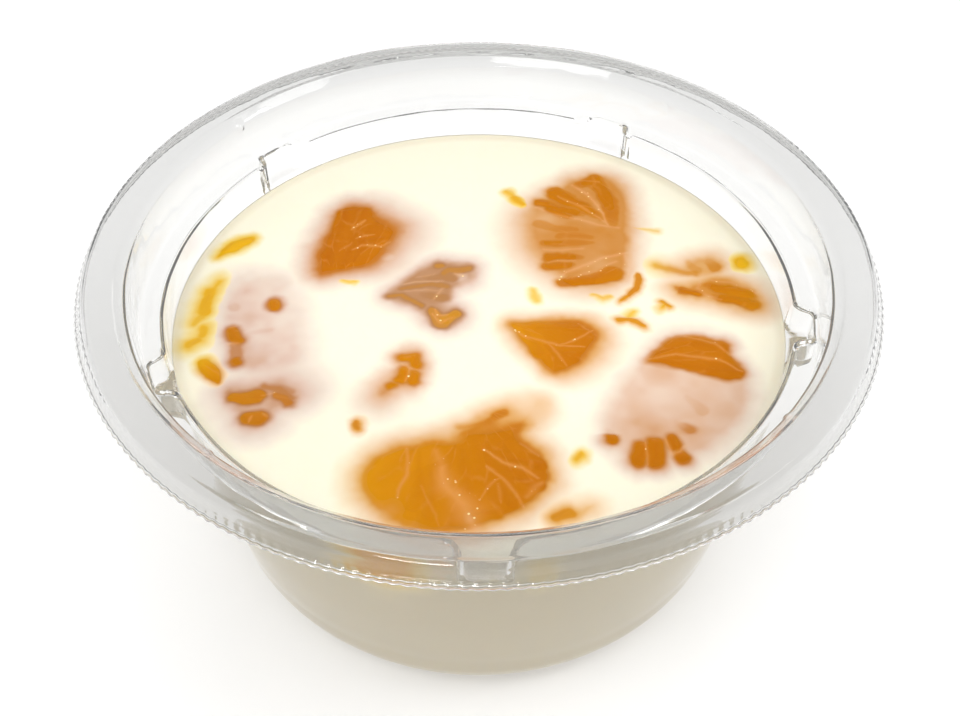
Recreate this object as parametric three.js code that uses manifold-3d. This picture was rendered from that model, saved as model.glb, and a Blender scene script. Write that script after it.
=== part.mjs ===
// A clear round cup of set milk jelly with mandarin segments sunk into its surface.
// Millimetres, +Z up. The origin is the centre of the cup's flat base, and the
// front, where the largest segment leans on the wall, faces -Y.

import * as THREE from "three";
import { mergeVertices } from "three/addons/utils/BufferGeometryUtils.js";
import Module from "manifold-3d";

// ---- driving dimensions -------------------------------------------------
const RIM_RADIUS = 64.5;       // lower edge of the rim's skirt, the widest place
const CUP_HEIGHT = 63.5;       // top corner of the rim
const WALL = 0.55;             // thickness of the formed plastic
const BASE_RADIUS = 35.5;      // the flat base, out to where it turns up
const TURN_RADIUS = 12;        // the outside of that turn
const MILK_LEVEL = 48.15;      // top of the set milk
const GAP = 0.3;               // kept between touching pieces

const LEDGE_HEIGHT = 54.1;     // the flat ledge round the mouth, a lid's seat
const LEDGE_RADIUS = 55.3;     // its outer edge, where the collar rises

const LUG_ANGLES = [-89, -11, 62, 135.3, 203.6];   // degrees: five stacking lugs round the wall
const LUG_WIDTH = 7.4;
const LUG_REACH = 55.1;        // radius of a lug's outer wall
const LUG_FLOOR = 48.8;        // height of the step inside a lug
const LUG_CORNER = 1.6;        // rounding of its two outer corners
const LUG_FLARE = 1.7;         // how far its mouth widens into the wall
const LUG_MOUTH_RADIUS = 51.8; // where the mouth meets the wall's inside
const LUG_OVERLAP = 0.3;       // its cutter runs this far above the ledge

const SKIRT_DROP = 3.7;        // the rim's skirt hangs this far below the top
const RIM_TOP_RADIUS = 62.3;   // top corner of the rim, above the skirt

const TURN_STEPS = 72;         // sides of every turned surface

// The wall's inside, from the base's turn up to the mouth: [radius, height].
const INNER_WALL = [[47.75, 16], [49.25, 25.8], [50.4, 35.8], [51.35, 45.8], [52.0, LEDGE_HEIGHT]];
// From the ledge's edge up the collar, and over its bevel to the flat rim.
const COLLAR = [[LEDGE_RADIUS, LEDGE_HEIGHT], [55.75, 54.6], [56.5, 61.3], [58.1, 63.0]];

// ---- shared helpers -----------------------------------------------------
const wasm = await Module();
wasm.setup();

/** A three.js geometry as a solid: one closed skin with shared vertices. */
function toSolid(geometry) {
  const bare = new THREE.BufferGeometry();
  bare.setAttribute("position", geometry.getAttribute("position"));
  bare.setIndex(geometry.getIndex());
  const merged = mergeVertices(bare, 1e-4);
  const vertProperties = new Float32Array(merged.getAttribute("position").array);
  const triVerts = new Uint32Array(merged.getIndex().array);
  return new wasm.Manifold(new wasm.Mesh({ numProp: 3, vertProperties, triVerts }));
}

/** A solid as a three.js geometry. */
function toGeometry(solid) {
  const mesh = solid.getMesh();
  const positions = new Float32Array((mesh.vertProperties.length / mesh.numProp) * 3);
  for (let i = 0; i < positions.length / 3; i++) {
    for (let axis = 0; axis < 3; axis++) {
      positions[i * 3 + axis] = mesh.vertProperties[i * mesh.numProp + axis];
    }
  }
  const geometry = new THREE.BufferGeometry();
  geometry.setAttribute("position", new THREE.BufferAttribute(positions, 3));
  geometry.setIndex(new THREE.BufferAttribute(new Uint32Array(mesh.triVerts), 1));
  geometry.computeVertexNormals();
  return geometry;
}

/** Turns a [radius, height] profile about +Z. It starts and ends on the axis. */
function turned(profile) {
  const points = profile.map(([r, z]) => new THREE.Vector2(r, z));
  const lathe = new THREE.LatheGeometry(points, TURN_STEPS);
  lathe.rotateX(Math.PI / 2);
  return toSolid(lathe);
}

/** The arc that turns the flat base up into the wall, `inset` in from the cup's outside. */
function baseTurn(inset) {
  const radius = TURN_RADIUS - inset;
  const arc = new THREE.EllipseCurve(BASE_RADIUS, TURN_RADIUS, radius, radius, -Math.PI / 2, 0);
  return arc.getPoints(6).map((p) => [p.x, p.y]);
}

/** The same profile moved outwards by a distance, mitred at its corners. */
function movedOut(profile, distance) {
  const outward = profile.slice(1).map(([r, z], i) => (
    new THREE.Vector2(z - profile[i][1], profile[i][0] - r).normalize()
  ));
  return profile.map(([r, z], i) => {
    const before = outward[Math.max(i - 1, 0)];
    const after = outward[Math.min(i, outward.length - 1)];
    const reach = distance / (1 + before.dot(after));
    return [r + (before.x + after.x) * reach, z + (before.y + after.y) * reach];
  });
}

function asMesh(name, solid, colour, roughness, opacity = 1) {
  const material = new THREE.MeshStandardMaterial({
    color: colour,
    roughness,
    metalness: 0,
    opacity,
    transparent: opacity < 1,
  });
  const mesh = new THREE.Mesh(toGeometry(solid), material);
  mesh.name = name;
  return mesh;
}

// ---- cup ----------------------------------------------------------------
/** One lug's plan: a U with round outer corners whose mouth flares to the wall. */
function lugPlan(grow) {
  const half = LUG_WIDTH / 2 + grow;
  const reach = LUG_REACH + grow;
  const mouth = LUG_MOUTH_RADIUS;
  const mouthHalf = half + LUG_FLARE;
  const inside = mouth - 2;
  const plan = new THREE.Shape();
  plan.moveTo(inside, -mouthHalf);
  plan.lineTo(mouth, -mouthHalf);
  plan.quadraticCurveTo(mouth + LUG_FLARE / 3, -half, mouth + LUG_FLARE, -half);
  plan.lineTo(reach - LUG_CORNER, -half);
  plan.quadraticCurveTo(reach, -half, reach, -half + LUG_CORNER);
  plan.lineTo(reach, half - LUG_CORNER);
  plan.quadraticCurveTo(reach, half, reach - LUG_CORNER, half);
  plan.lineTo(mouth + LUG_FLARE, half);
  plan.quadraticCurveTo(mouth + LUG_FLARE / 3, half, mouth, mouthHalf);
  plan.lineTo(inside, mouthHalf);
  plan.closePath();
  return plan;
}

/** A lug's block, from its floor up through the ledge it opens in. */
function lugBlock(grow, angleDegrees) {
  const block = new THREE.ExtrudeGeometry(lugPlan(grow), {
    depth: LEDGE_HEIGHT + LUG_OVERLAP - (LUG_FLOOR - grow),
    bevelEnabled: false,
    curveSegments: 4,
  });
  block.translate(0, 0, LUG_FLOOR - grow);
  block.rotateZ(THREE.MathUtils.degToRad(angleDegrees));
  return toSolid(block.index ? block : mergeVertices(block));
}

function buildCup() {
  const innerSide = [...INNER_WALL, ...COLLAR];
  const outerSide = movedOut(innerSide, WALL);
  const mouth = innerSide[innerSide.length - 1];

  const skirtEdge = CUP_HEIGHT - SKIRT_DROP;
  const skirtTop = [RIM_TOP_RADIUS + 0.8, CUP_HEIGHT - 0.85];
  const rim = [
    [RIM_TOP_RADIUS - 0.45, CUP_HEIGHT - WALL - 0.1],
    [skirtTop[0] - WALL - 0.2, skirtTop[1] - 0.2],
    [RIM_RADIUS - WALL, skirtEdge],
    [RIM_RADIUS, skirtEdge],
    skirtTop,
    [RIM_TOP_RADIUS, CUP_HEIGHT],
  ];
  const outerBody = turned([
    [0, 0], ...baseTurn(0), ...outerSide, ...rim, mouth, [0, mouth[1]],
  ]);
  const aboveRim = CUP_HEIGHT + 5;
  const hollow = turned([
    [0, WALL], ...baseTurn(WALL), ...innerSide, [mouth[0], aboveRim], [0, aboveRim],
  ]);

  let body = outerBody;
  let space = hollow;
  for (const angle of LUG_ANGLES) {
    body = body.add(lugBlock(WALL, angle));
    space = space.add(lugBlock(0, angle));
  }
  return body.subtract(space);
}

// ---- fruit --------------------------------------------------------------
// Each piece lies in the milk's surface. `outline` is its edge there, seen from
// above; it stands `proud` of the milk and reaches `depth` below it.
const FRUIT = {
  mandarin_back_left: {
    outline: [[-29.3, 9.3], [-29.9, 15], [-28.6, 22], [-25.6, 29], [-21.8, 29.8], [-17.8, 27],
      [-13.8, 22.6], [-13.8, 17], [-16.8, 11.2], [-22.5, 9]],
    proud: 0.5, depth: 9,
  },
  mandarin_back_right: {
    outline: [[21.8, 38.8], [26.3, 38.3], [29, 33], [29.2, 24], [28.4, 15], [25.6, 7.8],
      [20.6, 5], [14.4, 7], [9.8, 13], [7.8, 19.5], [9.4, 28], [14.6, 35]],
    proud: 0.6, depth: 10,
  },
  mandarin_right_band: {
    outline: [[33.2, 5.6], [37, 7.6], [42.6, 7.6], [47, 5], [49.2, 1.2], [47.2, -1.7], [42.6, 0.2],
      [36.4, 3]],
    proud: 0.4, depth: 7,
  },
  mandarin_right_strip: {
    outline: [[30.6, 12.4], [35, 12], [38.6, 13.4], [42.4, 15], [44.2, 12.8], [43.6, 10], [38.8, 9.6],
      [34.4, 9.8]],
    proud: 0.4, depth: 5,
  },
  juice_sac_right: {
    outline: [[45.7, 11], [46, 13.4], [48, 14.3], [48.6, 12], [47.8, 10.2]],
    proud: 0.4, depth: 3,
  },
  mandarin_middle_right: {
    outline: [[5.2, -3.2], [10.5, -3], [16.2, -2.6], [20, -6], [18.6, -10.4], [15.2, -14.8],
      [11.8, -15.6], [8.2, -11.8], [5.8, -7]],
    proud: 0.5, depth: 8,
  },
  mandarin_front_right: {
    outline: [[27, -11.6], [31.4, -7], [37, -6], [41.6, -9.6], [43.6, -16], [42.6, -24], [38.4, -30.4],
      [31, -34.8], [23.2, -35], [19.2, -29.2], [20.6, -21.4]],
    proud: 0.5, depth: 10,
  },
  mandarin_front: {
    outline: [[-18.4, -35.6], [-17.8, -42], [-12.6, -47.4], [-4, -49.2], [4.4, -46], [9.6, -40.4],
      [10.4, -35], [7.4, -30], [9.6, -24.4], [7.2, -21.4], [1.6, -23.4], [-5.6, -28], [-13.6, -30.8]],
    proud: 0.6, depth: 11,
  },
  mandarin_middle_pulp: {
    outline: [[-16.4, 4.2], [-13.6, 8.6], [-8.4, 13.2], [-2.6, 13.8], [-1, 9.4], [-3.6, 3.6], [-3.2, -2],
      [-5.6, -5.2], [-9, -1.8], [-13, 1.6]],
    proud: 0.6, depth: 5,
  },
  mandarin_middle_bit: {
    outline: [[-13.4, -11.4], [-11, -9.8], [-9.2, -12.4], [-9.4, -16.8], [-12, -18.8], [-15.6, -20.2],
      [-14.2, -15.4]],
    proud: 0.5, depth: 4,
  },
  mandarin_left: {
    outline: [[-44, 6.4], [-40.6, 9.8], [-34.8, 9.4], [-30.6, 4.4], [-28.2, -3], [-27.6, -11],
      [-30.6, -15.4], [-36, -15.6], [-40.6, -13.6], [-43.4, -6], [-44.4, 1]],
    proud: 0.4, depth: 10,
  },
  mandarin_front_left: {
    outline: [[-40.4, -20.2], [-36.4, -18.4], [-31.4, -17.2], [-28.6, -19.2], [-29.8, -22.8],
      [-32.6, -25.8], [-35.2, -27.6], [-38.2, -24.6]],
    proud: 0.5, depth: 6,
  },
  juice_sacs_left: {
    outline: [[-46.4, 8.6], [-48.4, 4], [-49.2, -2], [-48.9, -8.6], [-47, -10.6], [-45.7, -7.6],
      [-45.5, -1], [-45.6, 4.4]],
    proud: 0.3, depth: 4,
  },
  juice_sac_front_left: {
    outline: [[-46.2, -13], [-44.8, -12.1], [-42.6, -14.6], [-41.8, -18], [-44.2, -16.8]],
    proud: 0.4, depth: 2.5,
  },
  juice_sac_back_left: {
    outline: [[-47.8, 12.9], [-45, 13.9], [-41.9, 16.8], [-41.4, 20], [-44.4, 18.7], [-46.8, 15.8]],
    proud: 0.4, depth: 2.5,
  },
  mandarin_front_scrap: {
    outline: [[10.4, -46.2], [11.2, -43.4], [14.2, -41.8], [17.8, -42], [16.8, -44.6], [13.4, -46.8]],
    proud: 0.2, depth: 9,
  },
};
const RING_ANGLES = [50, 20, 0, -28, -60];   // degrees from the widest ring, top to bottom
const FULLNESS = 0.55;                       // below 1, the sides stand steeper than an ellipse

/** The outline as a smooth closed loop, moved outwards by `grow`. */
function smoothOutline(points, steps, grow) {
  const corners = points.map(([x, y]) => new THREE.Vector3(x, y, 0));
  const loop = new THREE.CatmullRomCurve3(corners, true, "centripetal").getSpacedPoints(steps);
  loop.pop();
  const flat = loop.map((p) => new THREE.Vector2(p.x, p.y));
  const turn = Math.sign(THREE.ShapeUtils.area(flat));
  if (turn < 0) flat.reverse();
  return flat.map((p, i) => {
    const before = flat[(i + flat.length - 1) % flat.length];
    const after = flat[(i + 1) % flat.length];
    const along = after.clone().sub(before).normalize();
    return new THREE.Vector2(p.x + along.y * grow, p.y - along.x * grow);
  });
}

/** A closed pebble on an outline: a low dome above the milk, a deep one below. */
function fruitBody({ outline, proud, depth }, grow = 0) {
  const steps = Math.max(12, Math.min(26, outline.length * 2 + 4));
  const edge = smoothOutline(outline, steps, grow);
  const middle = edge.reduce((sum, p) => sum.add(p), new THREE.Vector2()).divideScalar(edge.length);
  const top = MILK_LEVEL + proud + grow;
  const bottom = MILK_LEVEL - depth - grow;

  const positions = [middle.x, middle.y, top];
  for (const degrees of RING_ANGLES) {
    const angle = THREE.MathUtils.degToRad(degrees);
    const spread = Math.cos(angle) ** FULLNESS;
    const rise = Math.sin(angle) * (angle > 0 ? proud + grow : depth + grow);
    for (const p of edge) {
      positions.push(
        middle.x + (p.x - middle.x) * spread,
        middle.y + (p.y - middle.y) * spread,
        MILK_LEVEL + rise,
      );
    }
  }
  positions.push(middle.x, middle.y, bottom);

  const n = edge.length;
  const ringStart = (ring) => 1 + ring * n;
  const last = positions.length / 3 - 1;
  const index = [];
  for (let i = 0; i < n; i++) {
    const j = (i + 1) % n;
    index.push(0, ringStart(0) + i, ringStart(0) + j);
    for (let ring = 0; ring < RING_ANGLES.length - 1; ring++) {
      const a = ringStart(ring);
      const b = ringStart(ring + 1);
      index.push(a + i, b + i, b + j, a + i, b + j, a + j);
    }
    const lowest = ringStart(RING_ANGLES.length - 1);
    index.push(last, lowest + j, lowest + i);
  }
  const geometry = new THREE.BufferGeometry();
  geometry.setAttribute("position", new THREE.Float32BufferAttribute(positions, 3));
  geometry.setIndex(index);
  return toSolid(geometry);
}

// ---- milk jelly ---------------------------------------------------------
// Single juice sacs lying in the surface: [x, y], length, width, heading in degrees.
const LOOSE_SACS = [
  { at: [7, 30.6], length: 6.4, width: 2, heading: -62 },
  { at: [-22.8, 7.1], length: 2.6, width: 1.2, heading: 25 },
  { at: [9.8, 3], length: 3.2, width: 1.3, heading: 95 },
  { at: [25.9, -4], length: 5, width: 1.5, heading: -15 },
  { at: [31.6, 0.3], length: 2.6, width: 1.5, heading: 60 },
  { at: [-18.7, -26.8], length: 2.8, width: 1.9, heading: -60 },
  { at: [15.3, -33.4], length: 2.8, width: 1.3, heading: 55 },
];
const SAC_PROUD = 0.35;
const MILK_RADIUS = 51.2;      // the milk's edge, just inside the wall

function looseSac({ at, length, width, heading }) {
  const sac = new THREE.SphereGeometry(1, 8, 6);
  sac.scale(length / 2, width / 2, SAC_PROUD);
  sac.rotateZ(THREE.MathUtils.degToRad(heading));
  sac.translate(at[0], at[1], MILK_LEVEL);
  return toSolid(sac);
}

function buildJelly(space) {
  const side = [
    ...INNER_WALL.filter(([, z]) => z < MILK_LEVEL).map(([r, z]) => [r - GAP, z]),
    [MILK_RADIUS, MILK_LEVEL],
  ];
  let jelly = turned([[0, WALL + GAP], ...baseTurn(WALL + GAP), ...side, [0, MILK_LEVEL]]);
  for (const sac of LOOSE_SACS) jelly = jelly.add(looseSac(sac));
  return jelly.subtract(space);
}

// ---- the whole dessert --------------------------------------------------
const dessert = new THREE.Group();
dessert.name = "milk_jelly_with_mandarin";

dessert.add(asMesh("cup", buildCup(), 0xdfe2e0, 0.12, 0.35));

let pockets = null;
for (const [name, piece] of Object.entries(FRUIT)) {
  const colour = name.startsWith("juice") ? 0xdca014 : 0xd27a0c;
  dessert.add(asMesh(name, fruitBody(piece), colour, 0.35));
  const pocket = fruitBody(piece, GAP + 0.05);
  pockets = pockets ? pockets.add(pocket) : pocket;
}
dessert.add(asMesh("milk_jelly", buildJelly(pockets), 0xfffbe6, 0.3));

export default dessert;
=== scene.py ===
# %% [markdown]
# # Milk jelly with mandarin in a clear cup
# A round clear cup holds set milk jelly. Mandarin segments and single juice sacs are
# sunk into its surface: some stand free of the milk, and some only shimmer through a
# thin film of it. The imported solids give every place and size. This lesson dresses
# them in three steps: the cup, the fruit, and the milk that runs over the fruit.

import math

import bmesh
import bpy
import numpy as np
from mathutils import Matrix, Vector


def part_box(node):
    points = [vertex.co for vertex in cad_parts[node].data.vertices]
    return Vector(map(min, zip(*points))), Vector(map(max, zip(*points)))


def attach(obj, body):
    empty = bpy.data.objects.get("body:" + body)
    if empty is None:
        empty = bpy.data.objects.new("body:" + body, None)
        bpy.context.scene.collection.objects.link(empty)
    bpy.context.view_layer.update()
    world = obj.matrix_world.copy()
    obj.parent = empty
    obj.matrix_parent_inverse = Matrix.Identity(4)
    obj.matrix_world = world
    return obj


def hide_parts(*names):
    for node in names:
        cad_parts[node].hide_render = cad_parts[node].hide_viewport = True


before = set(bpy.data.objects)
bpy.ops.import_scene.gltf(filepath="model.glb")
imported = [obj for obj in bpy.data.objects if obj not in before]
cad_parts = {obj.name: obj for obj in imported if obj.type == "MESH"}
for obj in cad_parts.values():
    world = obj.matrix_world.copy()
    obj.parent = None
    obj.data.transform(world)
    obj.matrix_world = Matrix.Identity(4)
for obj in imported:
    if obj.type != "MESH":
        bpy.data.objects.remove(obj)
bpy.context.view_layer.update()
MM = 0.001

# %% [markdown]
# ## The measures that everything shares
# The cup's box gives its height and the radius of its rim. The milk's level comes from
# the milk's own solid: the loose juice sacs stand a little above it, so that is taken off.

# %% Read the shared measures
RIM_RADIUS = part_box("cup")[1].x / MM
CUP_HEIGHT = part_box("cup")[1].z / MM
LOOSE_SAC_STAND = 0.35
MILK_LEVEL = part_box("milk_jelly")[1].z / MM - LOOSE_SAC_STAND
WALL = 0.55
FINE = 1.0
print("rim radius", round(RIM_RADIUS, 2), "height", round(CUP_HEIGHT, 2), "milk", round(MILK_LEVEL, 2))

# %% [markdown]
# ## A mesh from arrays
# The pieces here are smooth skins with tens of thousands of faces, so they are worked
# out as arrays in millimetres and handed to Blender in one go. A value that belongs to
# each point, such as how thick the milk lies there, travels with the mesh as a named
# attribute that the material reads.

# %% A helper that turns arrays into an object
def make_object(name, points, faces, attributes=None):
    mesh = bpy.data.meshes.new(name)
    mesh.from_pydata((np.asarray(points) * MM).tolist(), [], [list(map(int, f)) for f in faces])
    shell = bmesh.new()
    shell.from_mesh(mesh)
    bmesh.ops.recalc_face_normals(shell, faces=shell.faces)
    shell.to_mesh(mesh)
    shell.free()
    mesh.shade_smooth()
    for key, values in (attributes or {}).items():
        layer = mesh.attributes.new(key, "FLOAT", "POINT")
        layer.data.foreach_set("value", np.asarray(values, np.float32))
    mesh.validate()
    thing = bpy.data.objects.new(name, mesh)
    bpy.context.collection.objects.link(thing)
    print(name, len(mesh.vertices), "points", len(mesh.polygons), "faces")
    return thing

# %% [markdown]
# ## Materials from nodes
# Small helpers keep the node code short. One makes a material and sets plain numbers
# straight on the Principled shader's own sockets. The others add a node, and either set or
# link its inputs.

# %% Helpers that start a material and fill its sockets
def start_material(name, **sockets):
    material = bpy.data.materials.new(name)
    material.use_nodes = True
    shader = material.node_tree.nodes["Principled BSDF"]
    for socket, value in sockets.items():
        shader.inputs[socket.replace("_", " ")].default_value = value
    return material, material.node_tree, shader


def srgb(red, green, blue):
    def linear(part):
        part /= 255
        return part / 12.92 if part <= 0.04045 else ((part + 0.055) / 1.055) ** 2.4
    return (linear(red), linear(green), linear(blue), 1)


def fill_socket(tree, socket, value):
    """Links the socket where the value comes from another node, and sets it otherwise."""
    if isinstance(value, bpy.types.NodeSocket):
        tree.links.new(value, socket)
    else:
        socket.default_value = value


def add_node(tree, kind, **values):
    """A new node, whose named inputs are filled with numbers or linked."""
    node = tree.nodes.new("ShaderNode" + kind)
    for socket, value in values.items():
        fill_socket(tree, node.inputs[socket.replace("_", " ")], value)
    return node


def read_attribute(tree, name):
    node = add_node(tree, "Attribute")
    node.attribute_name = name
    return node.outputs["Fac"]


def mix_colour(tree, share, first, second):
    node = add_node(tree, "Mix")
    node.data_type = "RGBA"
    for place, value in ((0, share), (6, first), (7, second)):
        fill_socket(tree, node.inputs[place], value)
    return node.outputs[2]


def colour_ramp(tree, share, stops):
    node = add_node(tree, "ValToRGB", Fac=share)
    while len(node.color_ramp.elements) < len(stops):
        node.color_ramp.elements.new(0.5)
    for element, (place, colour) in zip(node.color_ramp.elements, stops):
        element.position, element.color = place, colour
    return node.outputs["Color"]


def noise(tree, scale, detail=2.0):
    place = add_node(tree, "TexCoord").outputs["Object"]
    return add_node(tree, "TexNoise", Vector=place, Scale=scale, Detail=detail).outputs["Fac"]


def scaled(tree, value, factor):
    node = add_node(tree, "Math")
    node.operation = "MULTIPLY"
    fill_socket(tree, node.inputs[0], value)
    fill_socket(tree, node.inputs[1], factor)
    return node.outputs[0]


def soft_step(tree, value, start, end):
    """0 before start and 1 after end, with a soft climb between; start may be the larger."""
    node = add_node(tree, "MapRange", Value=value, From_Min=start, From_Max=end)
    node.interpolation_type = "SMOOTHSTEP"
    return node.outputs["Result"]

# %% [markdown]
# ## The cup's profile
# The cup is one thin sheet, formed over a mould: a flat base, a steep wall, a flat ledge
# that a lid could sit in, a low collar, a bevel, a flat rim and a flared skirt. One line
# through all of these is turned about the axis. Every corner on it is a small arc,
# because a formed sheet has no sharp edge, and those arcs catch the thin bright lines
# that make clear plastic readable.

# %% A line with rounded corners
def rounded_line(corners, steps=4):
    """corners: (radius, height, rounding). Returns points with an arc at each corner."""
    points = [corners[0][:2]]
    for before, here, after in zip(corners, corners[1:], corners[2:]):
        b, h, a = (np.array(c[:2], float) for c in (before, here, after))
        back, on = b - h, a - h
        reach = min(here[2], 0.45 * np.linalg.norm(back), 0.45 * np.linalg.norm(on))
        start = h + back / np.linalg.norm(back) * reach
        end = h + on / np.linalg.norm(on) * reach
        for t in np.linspace(0, 1, steps + 1):
            points.append(tuple((1 - t) ** 2 * start + 2 * t * (1 - t) * h + t * t * end))
    points.append(corners[-1][:2])
    return np.array(points, float)


BASE_RADIUS = 35.5
TURN_RADIUS = 12.0
SKIRT_EDGE = CUP_HEIGHT - 3.7
MOUTH_RADIUS = 52.0
LEDGE_HEIGHT = 54.1
LEDGE_RADIUS = 55.6
RIDGE_DEPTH = 0.22
WALL_LINE = [(47.75, 16, 3), (49.25, 25.8, 3), (50.4, 35.8, 3), (51.35, 45.8, 3)]
COLLAR_LINE = [
    (MOUTH_RADIUS, LEDGE_HEIGHT, 0.3), (LEDGE_RADIUS, LEDGE_HEIGHT + 0.05, 0.45),
    (56.5, 61.3, 0.35), (58.1, 63.0, 0.4), (RIM_RADIUS - 2.2, CUP_HEIGHT - 0.02, 0.8),
    (RIM_RADIUS - 1.4, CUP_HEIGHT - 0.85, 0.5), (RIM_RADIUS - 0.8, SKIRT_EDGE + 1.15, 0.3),
    (RIM_RADIUS - RIDGE_DEPTH, SKIRT_EDGE + 0.55, 0.3), (RIM_RADIUS - RIDGE_DEPTH, SKIRT_EDGE, 0),
]


def base_turn(inset, steps=10):
    radius = TURN_RADIUS - inset
    angles = np.linspace(0, math.pi / 2, steps)
    return [(BASE_RADIUS + radius * math.sin(a), TURN_RADIUS - radius * math.cos(a)) for a in angles]


top_line = rounded_line([(*base_turn(WALL)[-1], 0)] + WALL_LINE + COLLAR_LINE)
print("top line", len(top_line), "points")

# %% [markdown]
# ## Steady row spacing and the underside
# The arcs above give rows where the line bends. Long straight stretches get rows too,
# so that the stacking lugs and the skirt's ridges can be pressed into them. The
# underside is the same line moved out by the sheet's thickness. Where it bends tighter
# than that thickness, points that would run backwards are left out.

# %% Fill the line with rows and move it out
LUG_FLOOR = 48.8


def row_spacing(height):
    if height < LUG_FLOOR - 1:
        return 4.0
    if height < LUG_FLOOR + 0.7:
        return 0.07
    return 0.5


def fill_rows(line):
    rows = [line[0]]
    for start, end in zip(line, line[1:]):
        height = start[1]
        while height < end[1] - 1e-6 and abs(end[0] - start[0]) < end[1] - start[1]:
            height = min(height + row_spacing(height), end[1])
            share = (height - start[1]) / (end[1] - start[1])
            rows.append(start + (end - start) * share)
        if height == start[1]:
            count = max(1, int(math.ceil(np.linalg.norm(end - start) / 0.5)))
            rows += [start + (end - start) * i / count for i in range(1, count + 1)]
    return np.array(rows)


def moved_out(line, distance):
    """The line moved to its right-hand side: outwards below, underneath above."""
    along = np.gradient(line, axis=0)
    along /= np.linalg.norm(along, axis=1)[:, None]
    moved = line + np.stack([along[:, 1], -along[:, 0]], 1) * distance
    kept = [0]
    for i in range(1, len(line)):
        if np.dot(moved[i] - moved[kept[-1]], along[i]) > 0.02:
            kept.append(i)
    return moved[kept]


inner_rows = fill_rows(top_line)
outer_rows = moved_out(inner_rows, WALL)
outer_rows[-1] = (RIM_RADIUS - RIDGE_DEPTH - WALL, SKIRT_EDGE)
print("rows inside", len(inner_rows), "outside", len(outer_rows))

# %% [markdown]
# ## Stacking lugs
# Five lugs open in the ledge, not quite evenly spaced. Seen from above each is a U with
# round corners, whose mouth flares into the wall. Below the ledge it is a shallow pocket
# with its own floor. So one rule serves: at a lug's angle the sheet stands out at least
# as far as the U, from the lug's floor up to the ledge.

# %% The plan of a lug
LUG_ANGLES = [math.radians(a) for a in (-89, -11, 62, 135.3, 203.6)]
LUG_REACH = 55.1
LUG_FLAT = 1.9
LUG_CORNER = 1.65
LUG_FLARE = 2.0
LUG_MIDDLE_RADIUS = 53.5
RIDGE_COUNT = 226


def angle_from(angle, place):
    return (angle - place + math.pi) % (2 * math.pi) - math.pi


def lug_radius(angle, grow):
    """The radius of the nearest lug's U, or 0 away from all of them."""
    side = np.min([np.abs(angle_from(angle, lug)) for lug in LUG_ANGLES], axis=0)
    side = np.maximum(side * LUG_MIDDLE_RADIUS - grow, 0)
    corner = np.clip((side - LUG_FLAT) / LUG_CORNER, 0, 1)
    shoulder = LUG_REACH - LUG_CORNER * (1 - np.sqrt(1 - corner ** 2))
    flare = np.clip((side - LUG_FLAT - LUG_CORNER) / LUG_FLARE, 0, 1)
    mouth = MOUTH_RADIUS + (LUG_REACH - LUG_CORNER - MOUTH_RADIUS) * (1 - flare) ** 2.6
    radius = np.where(corner < 1, shoulder, mouth) + grow
    return np.where(flare < 1, radius, 0)

# %% [markdown]
# ## Ridges, nibs and waviness
# The skirt carries fine upright ridges, about 1.8 mm apart. Four small nibs stand in
# the collar, a quarter turn apart, where a lid would click in. And a slow, faint
# waviness is laid over everything above the milk, because thin formed plastic is never
# true, and a perfect one would look like a drawing.

# %% The sheet's place at an angle and a row
NIB_ANGLES = [math.radians(a) for a in (50, 141, 229.5, 320)]
NIB_HEIGHT = 60.7


def waviness(angle, height):
    slow = 0.03 * np.sin(7 * angle + 0.31 * height) + 0.022 * np.sin(17 * angle - 0.9 * height + 1)
    return slow + 0.012 * np.sin(41 * angle + 1.7 * height + 2)


def sheet_ring(line_radius, line_height, angle, grow, on_skirt):
    """Radius and height of the sheet all round, for one row of its profile."""
    radius = np.full(angle.shape, float(line_radius))
    height = np.full(angle.shape, float(line_height))
    lug = lug_radius(angle, grow)
    ledge = LEDGE_HEIGHT - grow
    floor = LUG_FLOOR - grow
    if floor < line_height < ledge + 0.2 and line_radius < LEDGE_RADIUS + grow:
        rise = min((line_height - floor) / 0.5, 1) ** 0.4
        radius = np.where(lug > radius, radius + (lug - radius) * rise, radius)
        if line_height > ledge - 0.4:
            gap = np.clip((line_radius - lug) / 0.3, 0, 1)
            near = (lug > 0) & (gap < 1)
            height = np.where(near, np.minimum(height, ledge - 0.25 * (1 - gap) ** 2), height)
    above_milk = np.clip((line_height - 48.5) / 3, 0, 1)
    calm = above_milk * (1 - on_skirt)
    radius = radius + waviness(angle, line_height) * calm
    height = height + 0.7 * waviness(angle, line_radius * 1.7) * calm * (line_radius > 52)
    for nib in NIB_ANGLES:
        side = angle_from(angle, nib) * line_radius
        bump = np.exp(-(side / 0.5) ** 2 - ((line_height - NIB_HEIGHT) / 0.55) ** 2)
        radius = radius - 0.35 * bump * (line_radius < 57.5)
    ridge = 0.5 - 0.5 * np.cos(RIDGE_COUNT * angle)
    return radius + on_skirt * RIDGE_DEPTH * ridge ** 0.8, height

# %% [markdown]
# ## Turning the sheet into a closed mesh
# Each row of the profile becomes a ring. The ridges and lugs need four points to a
# ridge, but the plain wall below doesn't, so its rings have a quarter of that, and the
# two are joined by a fan of triangles.

# %% Rings and the faces between them
def ring_faces(lower, upper):
    """Faces between two rings of indices, where upper has the same or k times as many."""
    k = len(upper) // len(lower)
    n = len(lower)
    if k == 1:
        return [(lower[i], lower[(i + 1) % n], upper[(i + 1) % n], upper[i]) for i in range(n)]
    faces = []
    for i in range(n):
        j = (i + 1) % n
        fine = [upper[(i * k + s) % len(upper)] for s in range(k + 1)]
        middle = k // 2
        faces += [(lower[i], fine[s + 1], fine[s]) for s in range(middle)]
        faces.append((lower[i], lower[j], fine[middle]))
        faces += [(lower[j], fine[s + 1], fine[s]) for s in range(middle, k)]
    return faces


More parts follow.
